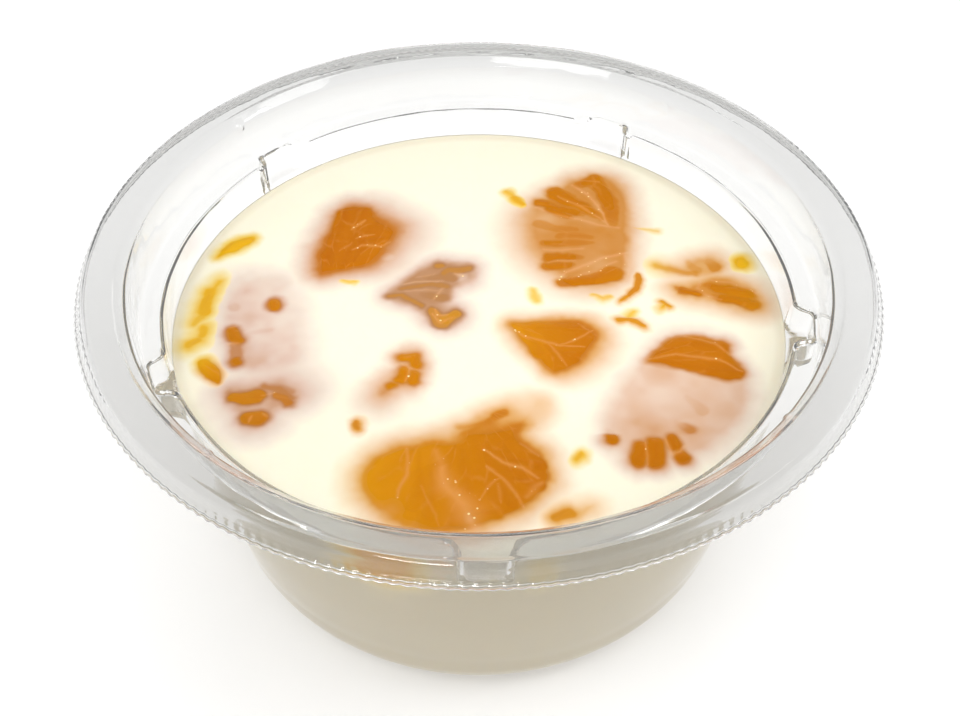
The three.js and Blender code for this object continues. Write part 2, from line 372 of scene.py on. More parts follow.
def stitch(rings):
    """Joins neighbouring rings of indices, whichever of the two is the finer."""
    faces = []
    for a, b in zip(rings, rings[1:]):
        if len(a) <= len(b):
            faces += ring_faces(a, b)
        else:
            faces += [tuple(reversed(f)) for f in ring_faces(b, a)]
    return faces


# %% Build the cup
BASE_RINGS = (1.0, 12.0, 24.0, 32.0)
SKIRT_CLIMB = 0.4


def skirt_share(radius, height, above_edge, inside_rim):
    """0 on the rim and 1 on the skirt, with a short climb between."""
    climb = np.clip((SKIRT_EDGE + above_edge - height) / SKIRT_CLIMB, 0, 1)
    return float(climb * (radius > RIM_RADIUS - inside_rim))


def build_cup():
    points, rings = [], []

    def add_ring(radius, height, grow=0.0, on_skirt=0.0):
        count = RIDGE_COUNT * (4 if height > LUG_FLOOR - 1.2 else 1)
        angle = np.arange(count) * 2 * math.pi / count
        r, z = sheet_ring(radius, height, angle, grow, on_skirt)
        start = rings[-1][-1] + 1 if rings else 0
        points.append(np.stack([r * np.cos(angle), r * np.sin(angle), z], 1))
        rings.append(list(range(start, start + count)))

    for radius in BASE_RINGS:
        add_ring(radius, WALL)
    for radius, height in base_turn(WALL)[:-1]:
        add_ring(radius, height)
    for radius, height in inner_rows:
        add_ring(radius, height, 0, skirt_share(radius, height, 1.6, 1.6))
    for radius, height in outer_rows[::-1]:
        add_ring(radius, height, WALL, 0.5 * skirt_share(radius, height, 1.2, 2.4))
    for radius, height in base_turn(0)[::-1][1:]:
        add_ring(radius, height, WALL)
    for radius in BASE_RINGS[::-1]:
        add_ring(radius, 0.0, WALL)
    faces = stitch(rings)
    faces.append(tuple(reversed(rings[0])))
    faces.append(tuple(rings[-1]))
    return make_object("clear_cup", np.concatenate(points), faces)


clear_cup = build_cup()

# %% [markdown]
# ## Clear plastic
# Thin clear plastic bends light, so it is made as real glass with two walls. A slight
# grey in its colour takes a little light away at each wall, which is what makes the rim
# show against a white table, where light has to cross four or more walls. The grey grows
# with height, because that is how the cup looks in the photograph: real plastic has one
# colour. Thin corners came out black without help, so a faint even emission stands in for the
# light that a real sheet would let out there. Both are fitted.
# So the grey's growth with height is painted shade, and the faint even emission is painted light.

# %% Give the cup its plastic
# The even emission is painted light, standing in for the light that thin corners let out.
plastic, plastic_tree, plastic_shader = start_material(
    "clear_plastic", Roughness=0.025, IOR=1.41, Transmission_Weight=1.0,
    Emission_Color=(1, 1, 1, 1), Emission_Strength=0.025)
plastic_place = add_node(plastic_tree, "TexCoord").outputs["Object"]
plastic_height = add_node(plastic_tree, "SeparateXYZ", Vector=plastic_place).outputs["Z"]
plastic_level = add_node(plastic_tree, "MapRange", Value=plastic_height,
                         From_Min=MILK_LEVEL * MM, From_Max=CUP_HEIGHT * MM)
# The plastic's own slight grey, deepened with height by painted shade above the milk.
plastic_tint_and_painted_shade = colour_ramp(plastic_tree, plastic_level.outputs["Result"], [
    (0.0, (0.95, 0.948, 0.942, 1)), (0.38, (0.83, 0.83, 0.82, 1)), (0.65, (0.8, 0.8, 0.79, 1)),
    (0.93, (0.65, 0.65, 0.642, 1))])
plastic_tree.links.new(plastic_tint_and_painted_shade, plastic_shader.inputs["Base Color"])
clear_cup.data.materials.append(plastic)
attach(clear_cup, "root")
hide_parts("cup")

# %% [markdown]
# ## How thick the milk lies
# Everything seen in the surface follows from one number: the thickness of the milk film
# over the fruit, in millimetres. Below zero the fruit stands free. From zero up it goes
# brown, mauve and pink, and at one millimetre it is plain milk. The same rule shapes the
# fruit and colours the milk, so the two always agree.
#
# A piece is an outline with a film over it, and on it lie juice sacs: long drops with a
# thin tail near the segment's hinge and a fat head at its back.

# %% Outlines and distances
def smooth_loop(corners, per_corner=8):
    """A closed loop through the corners, as a smooth curve."""
    corners = np.array(corners, float)
    p0, p1, p2, p3 = (np.roll(corners, s, axis=0)[:, None] for s in (1, 0, -1, -2))
    t = np.linspace(0, 1, per_corner, endpoint=False)[None, :, None]
    bend = 2 * p1 + (p2 - p0) * t + (2 * p0 - 5 * p1 + 4 * p2 - p3) * t ** 2
    return ((bend + (3 * p1 - p0 - 3 * p2 + p3) * t ** 3) / 2).reshape(-1, 2)


def edge_distance(x, y, loop):
    """Distance in mm from each point to a closed loop: negative inside it."""
    nearest = np.full(x.shape, 1e9)
    inside = np.zeros(x.shape, bool)
    for (ax, ay), (bx, by) in zip(loop, np.roll(loop, -1, axis=0)):
        dx, dy = bx - ax, by - ay
        along = np.clip(((x - ax) * dx + (y - ay) * dy) / (dx * dx + dy * dy + 1e-12), 0, 1)
        nearest = np.minimum(nearest, (x - ax - along * dx) ** 2 + (y - ay - along * dy) ** 2)
        crosses = (ay > y) != (by > y)
        inside ^= crosses & (x < dx * (y - ay) / (dy if dy else 1e-12) + ax)
    return np.sqrt(nearest) * np.where(inside, -1, 1)


def line_distance(x, y, line):
    """Distance in mm to an open line, and how far along the line that is, from 0 to 1."""
    line = np.array(line, float)
    nearest, place = np.full(x.shape, 1e9), np.zeros(x.shape)
    legs = len(line) - 1
    for i, ((ax, ay), (bx, by)) in enumerate(zip(line, line[1:])):
        dx, dy = bx - ax, by - ay
        along = np.clip(((x - ax) * dx + (y - ay) * dy) / (dx * dx + dy * dy), 0, 1)
        away = np.hypot(x - ax - along * dx, y - ay - along * dy)
        place = np.where(away < nearest, (i + along) / legs, place)
        nearest = np.minimum(nearest, away)
    return nearest, place

# %% [markdown]
# ## Soft random hills
# Torn fruit has no ruled edge. Before a point asks how far it lies from an outline, it is
# pushed about by a fraction of a millimetre, by hills that are random but the same on
# every run.

# %% Smooth noise over the surface
def smooth_noise(x, y, size, seed):
    """Hills between -1 and 1, size mm across."""
    grid_x, grid_y = x / size + 17.3 * seed, y / size - 9.1 * seed
    cell_x, cell_y = np.floor(grid_x), np.floor(grid_y)
    fx, fy = grid_x - cell_x, grid_y - cell_y
    fx, fy = fx * fx * (3 - 2 * fx), fy * fy * (3 - 2 * fy)

    def corner(dx, dy):
        value = np.sin((cell_x + dx) * 127.1 + (cell_y + dy) * 311.7 + seed * 74.7) * 43758.5453
        return 2 * (value - np.floor(value)) - 1

    low = corner(0, 0) * (1 - fx) + corner(1, 0) * fx
    high = corner(0, 1) * (1 - fx) + corner(1, 1) * fx
    return low * (1 - fy) + high * fy


def pushed(x, y, amount=0.32):
    push_x = smooth_noise(x, y, 2.3, 1) + 0.4 * smooth_noise(x, y, 0.9, 2)
    push_y = smooth_noise(x, y, 2.3, 3) + 0.4 * smooth_noise(x, y, 0.9, 4)
    return x + amount * push_x, y + amount * push_y

# %% [markdown]
# ## A piece of fruit as a rule
# `film` is the milk over the middle of the piece and `lean` lets it grow thicker to one
# side. `fade` is the width of the haze outside the outline, and `drift` widens that haze
# on one side; it starts `rim` inside the outline. `glow` is painted light and shade on the
# haze: 0 is shadowy brown, painted shade, and 1 is lit peach, painted light. `ripe` runs
# from 0, yellow, to 1, deep orange, and `blush` is how it changes across the piece: partly
# the fruit's own tone, partly painted light that makes a lit side yellower. `pulp` is how
# dull and brown the flesh is.
#
# A sac is (line, width, film): the film over its middle, below zero where it stands free.
# Its tail is half as wide unless a fourth number says otherwise. A pith line is (points,
# width, strength). A thin spot (x, y, size, less) takes film away, or adds it when less is
# below zero. A window is an outline where the piece comes up through its film. Sacs fan
# out from the `hinge`.

# %% The rule for one piece
JOIN_SOFTNESS = 0.03
AURA = 0.24


def soft_least(first, second, blend):
    """The smaller of two, rounded off over a range of about the blend where they cross."""
    gap = np.clip(np.abs(first - second) / (4 * blend), 0, 1)
    return np.minimum(first, second) - blend * (1 - gap) ** 2


class Piece:
    def __init__(self, node, edge, film, fade, ripe, depth, hinge, lean=(0, 0), drift=(0, 0),
                 blush=(0, 0), sacs=(), pith=(), windows=(), thin=(), pulp=0.0, glow=0.85, rim=1.2):
        self.node, self.film, self.fade, self.ripe, self.depth = node, film, fade, ripe, depth
        self.lean, self.drift, self.sacs, self.pith = lean, drift, sacs, pith
        self.windows, self.thin, self.pulp = [smooth_loop(w) for w in windows], thin, pulp
        self.blush, self.glow, self.rim = blush, glow, rim
        self.loop = smooth_loop(edge)
        self.middle = (self.loop.min(0) + self.loop.max(0)) / 2
        self.hinge = np.array(hinge, float)

    def near(self, x, y, margin=10):
        low, high = self.loop.min(0) - margin, self.loop.max(0) + margin
        return (x > low[0]) & (x < high[0]) & (y > low[1]) & (y < high[1])

    # Ripeness across a piece: its slope is partly the fruit's own tone and partly painted light, which
    # paints a lit side yellower.
    def ripe_at(self, x, y):
        change = self.blush[0] * (x - self.middle[0]) + self.blush[1] * (y - self.middle[1])
        return np.clip(self.ripe + change, 0, 1)

    def fan(self, x, y):
        """Place in the fan of sacs: across it and along it, in sac widths and lengths."""
        to_middle = self.middle - self.hinge
        straight = math.atan2(to_middle[1], to_middle[0])
        turn = angle_from(np.arctan2(y - self.hinge[1], x - self.hinge[0]), straight)
        along = np.hypot(x - self.hinge[0], y - self.hinge[1])
        return turn * np.hypot(*to_middle) / 2.5, along / 6.5

    def thickness(self, x, y):
        """The milk film over the piece at each point, and how deep each lies in a sac."""
        x, y = pushed(x, y)
        away = edge_distance(x, y, self.loop)
        from_x, from_y = x - self.middle[0], y - self.middle[1]
        level = self.film + self.lean[0] * from_x + self.lean[1] * from_y
        length = np.hypot(from_x, from_y) + 1e-6
        pull = np.maximum((self.drift[0] * from_x + self.drift[1] * from_y) / length, 0)
        fade = 2.5 * self.fade * (1 + pull)
        uneven = 0.2 * smooth_noise(x, y, 4.5, 5) + 0.12 * smooth_noise(x, y, 1.7, 6)
        inside = np.where(level < 0, level, level * (1 + uneven))
        for spot_x, spot_y, size, less in self.thin:
            inside = inside - less * np.exp(-((x - spot_x) ** 2 + (y - spot_y) ** 2) / size ** 2)
        for window in self.windows:
            gap = edge_distance(x, y, window)
            open_to = -0.3 * np.sqrt(np.clip(-gap / 0.8, 0, 1))
            inside = np.where(gap < 0, np.minimum(inside, open_to), inside * np.clip(gap / 1.5, 0, 1))
        bank = np.sqrt(np.clip(-(away + self.rim) / 0.9, 0, 1))
        inside = np.where(inside < 0, inside * bank, inside)
        start = np.maximum(inside, 0)
        outside = start + (1.05 - start) * np.clip((away + self.rim) / fade, 0, 1) ** 1.35
        film = np.where(away < -self.rim, inside, outside)
        core = np.zeros(x.shape)
        for line, width, over, *tail in self.sacs:
            far, place = line_distance(x, y, line)
            narrow = tail[0] if tail else 0.5
            half = 0.33 * width * (narrow + (1 - narrow) * place ** 0.7)
            share = np.minimum(far / half, 1)
            climb = AURA * np.maximum(far - half, 0) ** 1.15
            if not tail:
                over = over + (1 - place) ** 2 * (max(self.film, 0) - over)
            over_sac = over + np.maximum(-over, 0) * share ** 2 + climb
            film = soft_least(film, over_sac, JOIN_SOFTNESS)
            core = np.maximum(core, 1 - share)
        return film, core

    def pith_at(self, x, y):
        x, y = pushed(x, y, 0.2)
        pale = np.zeros(x.shape)
        for line, width, strength in self.pith:
            far, place = line_distance(x, y, line)
            taper = width / 2 * (1.1 - 0.5 * np.abs(2 * place - 1))
            pale = np.maximum(pale, strength * np.exp(-(far / taper) ** 1.5))
        return pale


pieces = []

# %% [markdown]
# ## The back segments
# The left one shows its side, cut by few membranes. The right one is a whole fan: its
# sacs spread from a straight hinge on the right, the upper ones stand free, and a film
# of milk lies over the middle of its back.

# %% Lay out the two back segments
pieces.append(Piece(
    "mandarin_back_left",
    edge=[(-29.1, 11.6), (-29, 15.8), (-27.8, 21), (-26.2, 26.4), (-24.2, 28.4), (-21.2, 28),
          (-18.2, 24.4), (-15.8, 21.8), (-15.9, 19.4), (-17.1, 16.2), (-18.8, 12.4), (-21.4, 10.3),
          (-27.5, 8.6), (-28.9, 9.6)],
    film=-0.3, fade=2.7, ripe=0.97, depth=9, hinge=(-24, 3), drift=(0.8, 0), glow=0.15, rim=0.9,
    sacs=[([(-27.2, 11.6), (-25, 26)], 4.2, -0.4), ([(-24, 11.4), (-21.4, 26)], 4.6, -0.42),
          ([(-22.4, 17.6), (-18, 18.6)], 2.6, -0.45)],
    thin=[(-16.3, 13.6, 2.6, -0.4)],
    pith=[([(-23.4, 21.3), (-22, 22.9), (-21.2, 23.9)], 0.6, 0.8),
          ([(-22.3, 18.6), (-20.7, 19.5), (-19.2, 19.8)], 0.5, 0.6),
          ([(-22.9, 15.5), (-21.4, 16.7), (-17.8, 16.7), (-16.2, 17.8)], 0.6, 0.7),
          ([(-25.1, 15), (-23.1, 17.5)], 0.5, 0.35)]))
pieces.append(Piece(
    "mandarin_back_right",
    edge=[(21.8, 38.4), (25.3, 38.4), (27.6, 36), (28.6, 31.6), (28.8, 25.7), (28.2, 19), (27.6, 14.1),
          (26.4, 9.5), (24.6, 6.2), (21.6, 4.9), (18.6, 5.3), (15.8, 6.8), (13.4, 9.4), (11, 12.6),
          (9.4, 16.3), (8.7, 20.7), (8.8, 25.2), (10.2, 28.8), (12.3, 31), (14.3, 34),
          (16.6, 36.2), (19, 38)],
    film=0.07, fade=2.5, ripe=0.78, depth=10, hinge=(31, 19.5), drift=(-0.6, -0.2), glow=0.5, rim=1.6,
    sacs=[([(25, 23), (24.6, 30), (22.8, 35.6)], 4.6, -0.12), ([(18.8, 34.8), (22.6, 37)], 3.2, -0.3),
          ([(22.6, 25), (18.6, 29.4), (14.6, 32.8)], 3.8, -0.3), ([(20.2, 27.4), (14.2, 31.2)], 2.6, -0.3),
          ([(19.6, 26), (15.2, 28), (11.6, 29.3)], 2.6, -0.32), ([(17.4, 25), (13.4, 27.4)], 2.4, -0.3),
          ([(17.8, 21.4), (14.2, 21.8), (11, 23)], 2.6, 0.08), ([(20.6, 19.4), (15, 19.6)], 2.2, 0.05),
          ([(20.6, 17.6), (11.8, 17.4)], 1.9, 0.02), ([(18.6, 13.8), (12.6, 13.4)], 2.2, -0.1),
          ([(17, 11.4), (12.2, 11.2)], 2.2, -0.25),
          ([(14.6, 6.8), (19.5, 7.4), (23.4, 8.8)], 5.2, -0.4, 0.35)],
    thin=[(12, 24.5, 2.6, -0.08), (21.5, 11.5, 2.2, -0.04)],
    pith=[([(23.9, 22.6), (22.7, 28.5), (20.7, 31.8), (18, 35)], 0.8, 0.8),
          ([(23.4, 23.6), (20.2, 27.2), (17.6, 29.6), (15, 31.4)], 0.6, 0.7),
          ([(26, 21.9), (22.1, 22.8), (18.9, 24.4), (13.7, 26), (10.8, 28)], 0.8, 0.7),
          ([(18.9, 16), (15.1, 15.5), (11.6, 15.5)], 0.9, 0.6), ([(17.4, 12.7), (12.6, 12.2)], 0.5, 0.5),
          ([(26.9, 14.6), (22.2, 13.4), (19, 11.4), (15.5, 9.5), (14.2, 7.6)], 0.9, 0.75),
          ([(24.6, 12.4), (21.5, 10), (18.3, 8.8), (15.7, 7.8)], 0.8, 0.6),
          ([(26.3, 14), (27, 10.8), (25.8, 7.2)], 1.6, 0.6), ([(19.6, 36.6), (23.4, 36)], 0.4, 0.5)]))
print("pieces so far", len(pieces))

# %% [markdown]
# ## The right edge
# Two slices of segments lie near the right wall, one behind the other, with a single
# yellow sac beyond them.

# %% Lay out the pieces by the right wall
pieces.append(Piece(
    "mandarin_right_band",
    edge=[(33.8, 5.4), (36.3, 6.2), (38.9, 7.3), (41.5, 8.1), (44.4, 7.6), (47.2, 5.6), (48.7, 3.4),
          (49, 0.9), (47.9, -0.9), (45, -0.5), (42.2, 0.9), (38.9, 2.3), (36.2, 2.7), (34.5, 3.9)],
    film=0.06, fade=2.5, ripe=0.72, depth=7, hinge=(30, 5), blush=(-0.03, 0), glow=0.7,
    sacs=[([(40, 5.8), (46.6, 3.4)], 3.2, -0.32), ([(41, 3.2), (47, 0.8)], 3, -0.35),
          ([(34.8, 4.8), (38, 3.6)], 2.1, -0.38)],
    pith=[([(38.9, 7), (38.2, 5.2), (39.2, 3.4), (41.7, 2.4)], 0.7, 0.6),
          ([(41, 7.1), (44.3, 6.5), (46.2, 5.3), (48.2, 3.8)], 0.6, 0.6)]))
pieces.append(Piece(
    "mandarin_right_strip",
    edge=[(31.5, 11.4), (33.7, 10.9), (35.9, 11.2), (37.9, 12.5), (40.2, 13.6), (42.2, 14), (43.7, 12.6),
          (43.8, 10.3), (42.6, 8.7), (40, 8.2), (37.2, 8.4), (33.5, 9.2)],
    film=0.13, fade=2.3, ripe=0.45, depth=5, hinge=(28, 12), blush=(0.035, 0), glow=0.7,
    sacs=[([(31.8, 11), (33.6, 10.2), (35.5, 9.6), (38.4, 9.1)], 1.1, 0.07, 0.9),
          ([(41.2, 12.6), (42, 10.8)], 2.9, 0.05), ([(37.6, 11.6), (38.9, 9.8)], 2.2, 0.1)]))
pieces.append(Piece(
    "juice_sac_right",
    edge=[(45.6, 11.4), (45.7, 12.7), (46.9, 13.6), (48, 13), (48.2, 11.4), (47.2, 10.2), (46, 10.2)],
    film=-0.3, fade=1.1, ripe=0.0, depth=3, hinge=(44, 8), rim=0.5))

# %% [markdown]
# ## The front right segment and the wedge beside it
# The front right segment lies tilted: its near end and its far end stand free, and the
# milk has run over the saddle between them.

# %% Lay out the right and middle pieces
pieces.append(Piece(
    "mandarin_middle_right",
    edge=[(5.4, -3.7), (8.7, -3.3), (13.8, -2.8), (17.6, -3.4), (19.7, -6.4), (18.8, -9.8), (16, -13.5),
          (12.6, -15.2), (10.2, -13), (7.4, -9.2), (6, -6.1)],
    film=-0.3, fade=1.9, ripe=0.7, depth=8, hinge=(4, -3), blush=(0.035, -0.01), drift=(0.6, -0.3),
    glow=0.65, rim=0.7,
    sacs=[([(7.6, -5.6), (10, -10.8)], 3, -0.4), ([(10, -5), (16, -5)], 3, -0.42),
          ([(13, -10.4), (15.6, -11.6)], 3, -0.42)],
    thin=[(12.8, -14.6, 1.8, -0.22)],
    pith=[([(5.6, -5), (7.4, -7), (11.2, -8.6), (13.5, -9.2), (17.6, -9.6)], 0.5, 0.75),
          ([(13.6, -8.9), (15.5, -8.2), (19, -5.6)], 0.5, 0.65),
          ([(11.2, -8.6), (12.8, -10.6), (14.4, -13.8)], 0.5, 0.55),
          ([(16.8, -3.9), (19, -6)], 0.35, 0.4)]))
pieces.append(Piece(
    "mandarin_front_right",
    edge=[(27, -12.2), (29.2, -9), (32, -6.8), (36, -6), (39.6, -7.4), (42, -11), (43.4, -16),
          (42.6, -22), (39.6, -27.4), (35.2, -31.4), (30, -34), (24, -34.4), (20.8, -31.6),
          (19.6, -28), (20.6, -23), (23.2, -17.6)],
    film=0.27, fade=1.9, ripe=0.88, depth=10, hinge=(27, -12), glow=0.2, rim=1.3,
    windows=[[(27.2, -12.3), (28.9, -10.2), (31, -7.7), (34.8, -6.4), (38.8, -7.3), (40.4, -8.9),
              (41.3, -11.1), (42.6, -15.7), (40.1, -16.6), (35.9, -14.9), (31.5, -13.7)]],
    sacs=[([(29, -11), (36, -8.6), (40, -9.6)], 3.6, -0.38), ([(29, -12.8), (41.6, -15.2)], 2.6, -0.36),
          ([(20.4, -28.2), (20.4, -29.7)], 2.4, -0.3), ([(24.8, -31), (24, -34)], 3, -0.34, 0.8),
          ([(27, -30.4), (26.8, -34)], 3.6, -0.34, 0.9), ([(29.4, -29.6), (29.8, -31.2)], 2.5, -0.34, 0.9),
          ([(30.4, -32.8), (30.9, -33.4)], 2.1, -0.3, 0.9), ([(30.9, -26), (32.7, -27.6)], 2.2, 0.07),
          ([(33.2, -21), (35.2, -23.6)], 2.6, 0.19)],
    thin=[(27, -28, 3.4, 0.14), (31.8, -28.6, 2.4, 0.08), (35, -20.5, 2.4, 0.05), (26, -20, 5, -0.03)],
    pith=[([(27.7, -12.4), (32.4, -11.3), (36.3, -12), (39.4, -12.7), (42.5, -15)], 0.6, 0.7),
          ([(34.4, -6.8), (39.1, -8.6), (41.3, -11.3)], 0.6, 0.6),
          ([(25.4, -30.2), (25.5, -34.6)], 0.5, 0.65),
          ([(28.4, -29.3), (29.2, -32.6), (30.4, -32.1), (31.4, -31)], 0.6, 0.8)]))

# %% [markdown]
# ## The front segment
# The largest piece leans on the front wall. It is lit best, and that light is painted into it:
# its left sacs are painted almost yellow. Its membranes draw a fan of fine pale lines. A torn
# tongue of it runs back under the milk.

# %% Lay out the front segment and the scrap beside it
pieces.append(Piece(
    "mandarin_front",
    edge=[(-17.4, -38.3), (-17.2, -35.7), (-15.9, -33.6), (-14.1, -32), (-12.4, -31), (-10.2, -30.6),
          (-8.1, -30), (-5.3, -29), (-2.9, -27.7), (-0.4, -26.4), (1.9, -24.4), (4.4, -23.3), (7.1, -22.6),
          (9.2, -22.2), (9.4, -23.5), (8, -25.6), (6.6, -28.1), (7.4, -29.9), (9, -31.9), (10.2, -34.1),
          (10.5, -37.2), (9.5, -39.8), (7.7, -41.6), (6, -43), (2.9, -44.7), (-0.5, -46.1), (-3.2, -46.8),
          (-6.1, -47), (-9.5, -46.3), (-12.8, -44.5), (-15.3, -42.3), (-16.7, -40.5)],
    film=-0.12, fade=2.4, ripe=0.62, depth=11, hinge=(-1, -22), blush=(0.02, 0), glow=0.75, rim=0.9,
    sacs=[([(-11.2, -32.6), (-14.4, -37.6)], 5.6, -0.3), ([(-9, -32), (-8.7, -40.6)], 3.2, -0.3),
          ([(-7, -36), (-7, -44.4)], 3.4, -0.4), ([(-2.4, -32), (-1.8, -39.6)], 4.4, -0.3),
          ([(3.6, -33), (9, -34.8)], 2.6, -0.4), ([(5, -37), (8.8, -38.6)], 2.8, -0.4),
          ([(2.4, -38.2), (4.6, -41.8)], 2.8, -0.4), ([(-0.4, -43.6), (2.4, -43.6)], 2.2, -0.4),
          ([(2.4, -24.9), (4, -24.2)], 1.5, 0.02, 0.9),
          ([(-3.2, -27.2), (0, -26.6), (2.2, -24.9)], 0.4, 0.09, 1)],
    thin=[(-12.9, -43, 2.6, -0.17), (-4.6, -29, 2.8, -0.22), (0.4, -27.8, 2.4, -0.13),
          (8, -23, 3.2, -0.4), (3.8, -25.6, 2.6, -0.17), (-9.4, -47, 1.6, -0.15),
          (4.4, -45.4, 2, -0.2), (10.4, -38.6, 1.5, -0.2), (-1.2, -44.4, 1.8, -0.18)],
    pith=[([(-10.9, -31.4), (-10.6, -36), (-11.3, -38.3), (-12.1, -40.7)], 0.6, 0.8),
          ([(-6.4, -32), (-5.6, -35.4)], 1.5, 0.55), ([(-5.6, -35.2), (-5, -38.8), (-3, -41.3)], 2.6, 0.95),
          ([(-3.4, -40.2), (-1.6, -43.6), (-0.8, -46)], 3.8, 0.95),
          ([(0.6, -31.7), (3.5, -34), (6.5, -35.2), (8.9, -37.2)], 0.6, 0.85),
          ([(1.1, -35), (3.4, -37.2), (5.2, -39.8), (6.6, -42.4)], 0.5, 0.8),
          ([(0.2, -40.9), (1.8, -38.3), (2.9, -37.2)], 0.5, 0.5), ([(2.7, -38.3), (3.2, -42)], 0.4, 0.5),
          ([(-8.7, -38.7), (-6.8, -42.7), (-5.5, -46)], 0.4, 0.35), ([(6.4, -30.4), (9, -33)], 0.5, 0.5),
          ([(7, -40.6), (9.4, -38)], 1.2, 0.5)]))
pieces.append(Piece(
    "mandarin_front_scrap",
    edge=[(10.6, -45), (11.4, -43.6), (13.8, -42.6), (16.4, -42.3), (16, -43.6), (13.6, -45.2)],
    film=0.2, fade=2.0, ripe=0.42, depth=9, hinge=(8, -46), glow=1.0,
    sacs=[([(11, -44.6), (13.2, -43.7)], 1.9, 0.02, 0.8)]))

# %% [markdown]
# ## Pulp in the middle
# Two torn bits lie in the middle: a crumpled rag of membrane, more brown than orange,
# and a knot of three sacs with a brown shadow where it dips under, which is thin milk
# over it and painted shade.

# %% Lay out the middle pulp
pieces.append(Piece(
    "mandarin_middle_pulp",
    edge=[(-15.5, 3.3), (-14, 5.3), (-12, 7.8), (-10.2, 10.1), (-8, 11.5), (-6.8, 12), (-4.1, 11.5),
          (-1.5, 10.9), (-1.4, 7.6), (-3.2, 6.4), (-5, 5), (-5.5, 1.6), (-4, -0.2), (-3.5, -2.4),
          (-4.3, -3.6), (-5.9, -4.4), (-7.4, -3.6), (-8.7, -2), (-9.9, 0.1), (-12.2, 1.4), (-13.9, 2.1)],
    film=0.15, fade=2.0, ripe=0.4, depth=5, hinge=(-14, 0), pulp=0.7, glow=0.0, rim=0.4,
    sacs=[([(-13.4, 5.2), (-10.8, 5.5), (-7.8, 6.2), (-5.9, 5.8)], 1.3, 0.07, 0.4),
          ([(-6.3, 9.2), (-5.3, 10), (-3.3, 10), (-1.9, 10.4)], 1.7, 0.05, 0.6),
          ([(-15.4, 3.1), (-13.5, 3.3), (-11.9, 2.1), (-9.9, 0.3)], 0.9, 0.05, 0.7),
          ([(-7.2, 11.2), (-6.8, 11.4)], 1.5, 0.04, 1), ([(-7.8, -0.8), (-6.2, -3.8)], 2.4, 0.03, 0.7),
          ([(-5.8, -3.2), (-4, -1.6)], 2, 0.0, 0.8), ([(-9.4, 8.2), (-4.6, 8)], 2.4, 0.1),
          ([(-9.8, 3.4), (-6.2, 2.6)], 2.4, 0.1)],
    thin=[(-5.2, 0.8, 1.3, -0.12), (-2.6, 7.6, 1.2, -0.1)],
    pith=[([(-6.4, 5.2), (-7.8, 2.2)], 0.6, 0.5), ([(-7.8, -1.4), (-6.4, -3.6), (-5.2, -2.6)], 0.5, 0.8),
          ([(-13, 6.2), (-9.6, 7), (-6.2, 6.9)], 0.5, 0.5), ([(-4.2, 9.1), (-2.6, 8.5)], 0.9, 0.7),
          ([(-12.8, 4.4), (-9, 4.6), (-6.4, 4.4)], 0.6, 0.35),
          ([(-7.4, -0.4), (-6.9, -2), (-5.4, -1.9)], 0.5, 0.7), ([(-6.2, -3), (-4.2, -2.4)], 0.5, 0.7),
          ([(-11, 8), (-7.8, 9)], 0.5, 0.3)]))
pieces.append(Piece(
    "mandarin_middle_bit",
    edge=[(-13, -11), (-11.4, -10.2), (-9.9, -11.1), (-9.3, -13.4), (-9.5, -16), (-10.2, -17.8),
          (-12.2, -18), (-13.4, -18.6), (-14.6, -20), (-15.4, -20.4), (-15.2, -19.2), (-14.2, -17.6),
          (-13.6, -15.7), (-12.9, -13.9), (-13.2, -12)],
    film=0.14, fade=1.5, ripe=0.6, depth=4, hinge=(-9, -8), drift=(-0.6, -0.8), glow=0.3, rim=0.4,
    sacs=[([(-12.3, -11.9), (-10.9, -11.9)], 2.2, -0.36, 1),
          ([(-10.9, -11.9), (-10, -13.8)], 2.2, -0.38, 1),
          ([(-12.2, -15.2), (-12.6, -16.8)], 2.4, -0.36, 0.9),
          ([(-13.2, -17.5), (-14.1, -18.6)], 0.9, -0.12),
          ([(-10.5, -15.9), (-10.8, -17.2)], 2.2, -0.34, 0.9)],
    thin=[(-15, -20, 1.4, 0.05)],
    pith=[([(-12.5, -13.4), (-11.2, -14.5), (-9.5, -14.8)], 0.5, 0.75),
          ([(-11.2, -14.6), (-11.5, -16), (-12, -17.4)], 0.5, 0.75),
          ([(-12.2, -11.9), (-11.2, -11.9)], 0.4, 0.5)]))

# %% [markdown]
# ## The left side
# A large segment lies wholly under the film here, mauve through the milk, with two gaps
# where it comes up. In front of it is a cluster of torn sacs, and along the wall stands
# a row of single yellow ones.

# %% Lay out the left pieces
pieces.append(Piece(
    "mandarin_left",
    edge=[(-43.4, 6), (-41.4, 8), (-37, 8.3), (-33.6, 6.2), (-31.6, 1.6), (-29.8, -5),
          (-29, -11), (-29.6, -14), (-32, -15), (-36, -15), (-39.8, -13.8), (-42.2, -8),
          (-43.6, -1)],
    film=0.38, fade=2.7, ripe=0.72, depth=10, hinge=(-25, 0), lean=(0.005, 0.003), glow=0.0,
    rim=1.8, pulp=0.15,
    sacs=[([(-35.3, 1.5), (-34.9, 0.3)], 2.2, -0.3, 1), ([(-41.2, -5.9), (-40.4, -7.6)], 3, -0.34, 0.8),
          ([(-40.3, -9.4), (-39.9, -12)], 2.5, 0.1, 0.9), ([(-39.8, -12.8), (-39.4, -13.3)], 1.5, -0.1, 1),
          ([(-42.4, 1.4), (-41.6, 0.2)], 2.4, 0.26), ([(-38.6, -6.2), (-35, -5.6)], 1.1, 0.3)],
    thin=[(-41, -8, 3.4, 0.16), (-40.6, 5, 3, 0.1), (-36.5, -15.5, 4, 0.16)],
    pith=[([(-41.6, -9), (-40, -8.6)], 0.8, 0.7), ([(-41.9, -5), (-40.6, -4.6)], 0.4, 0.5)]))
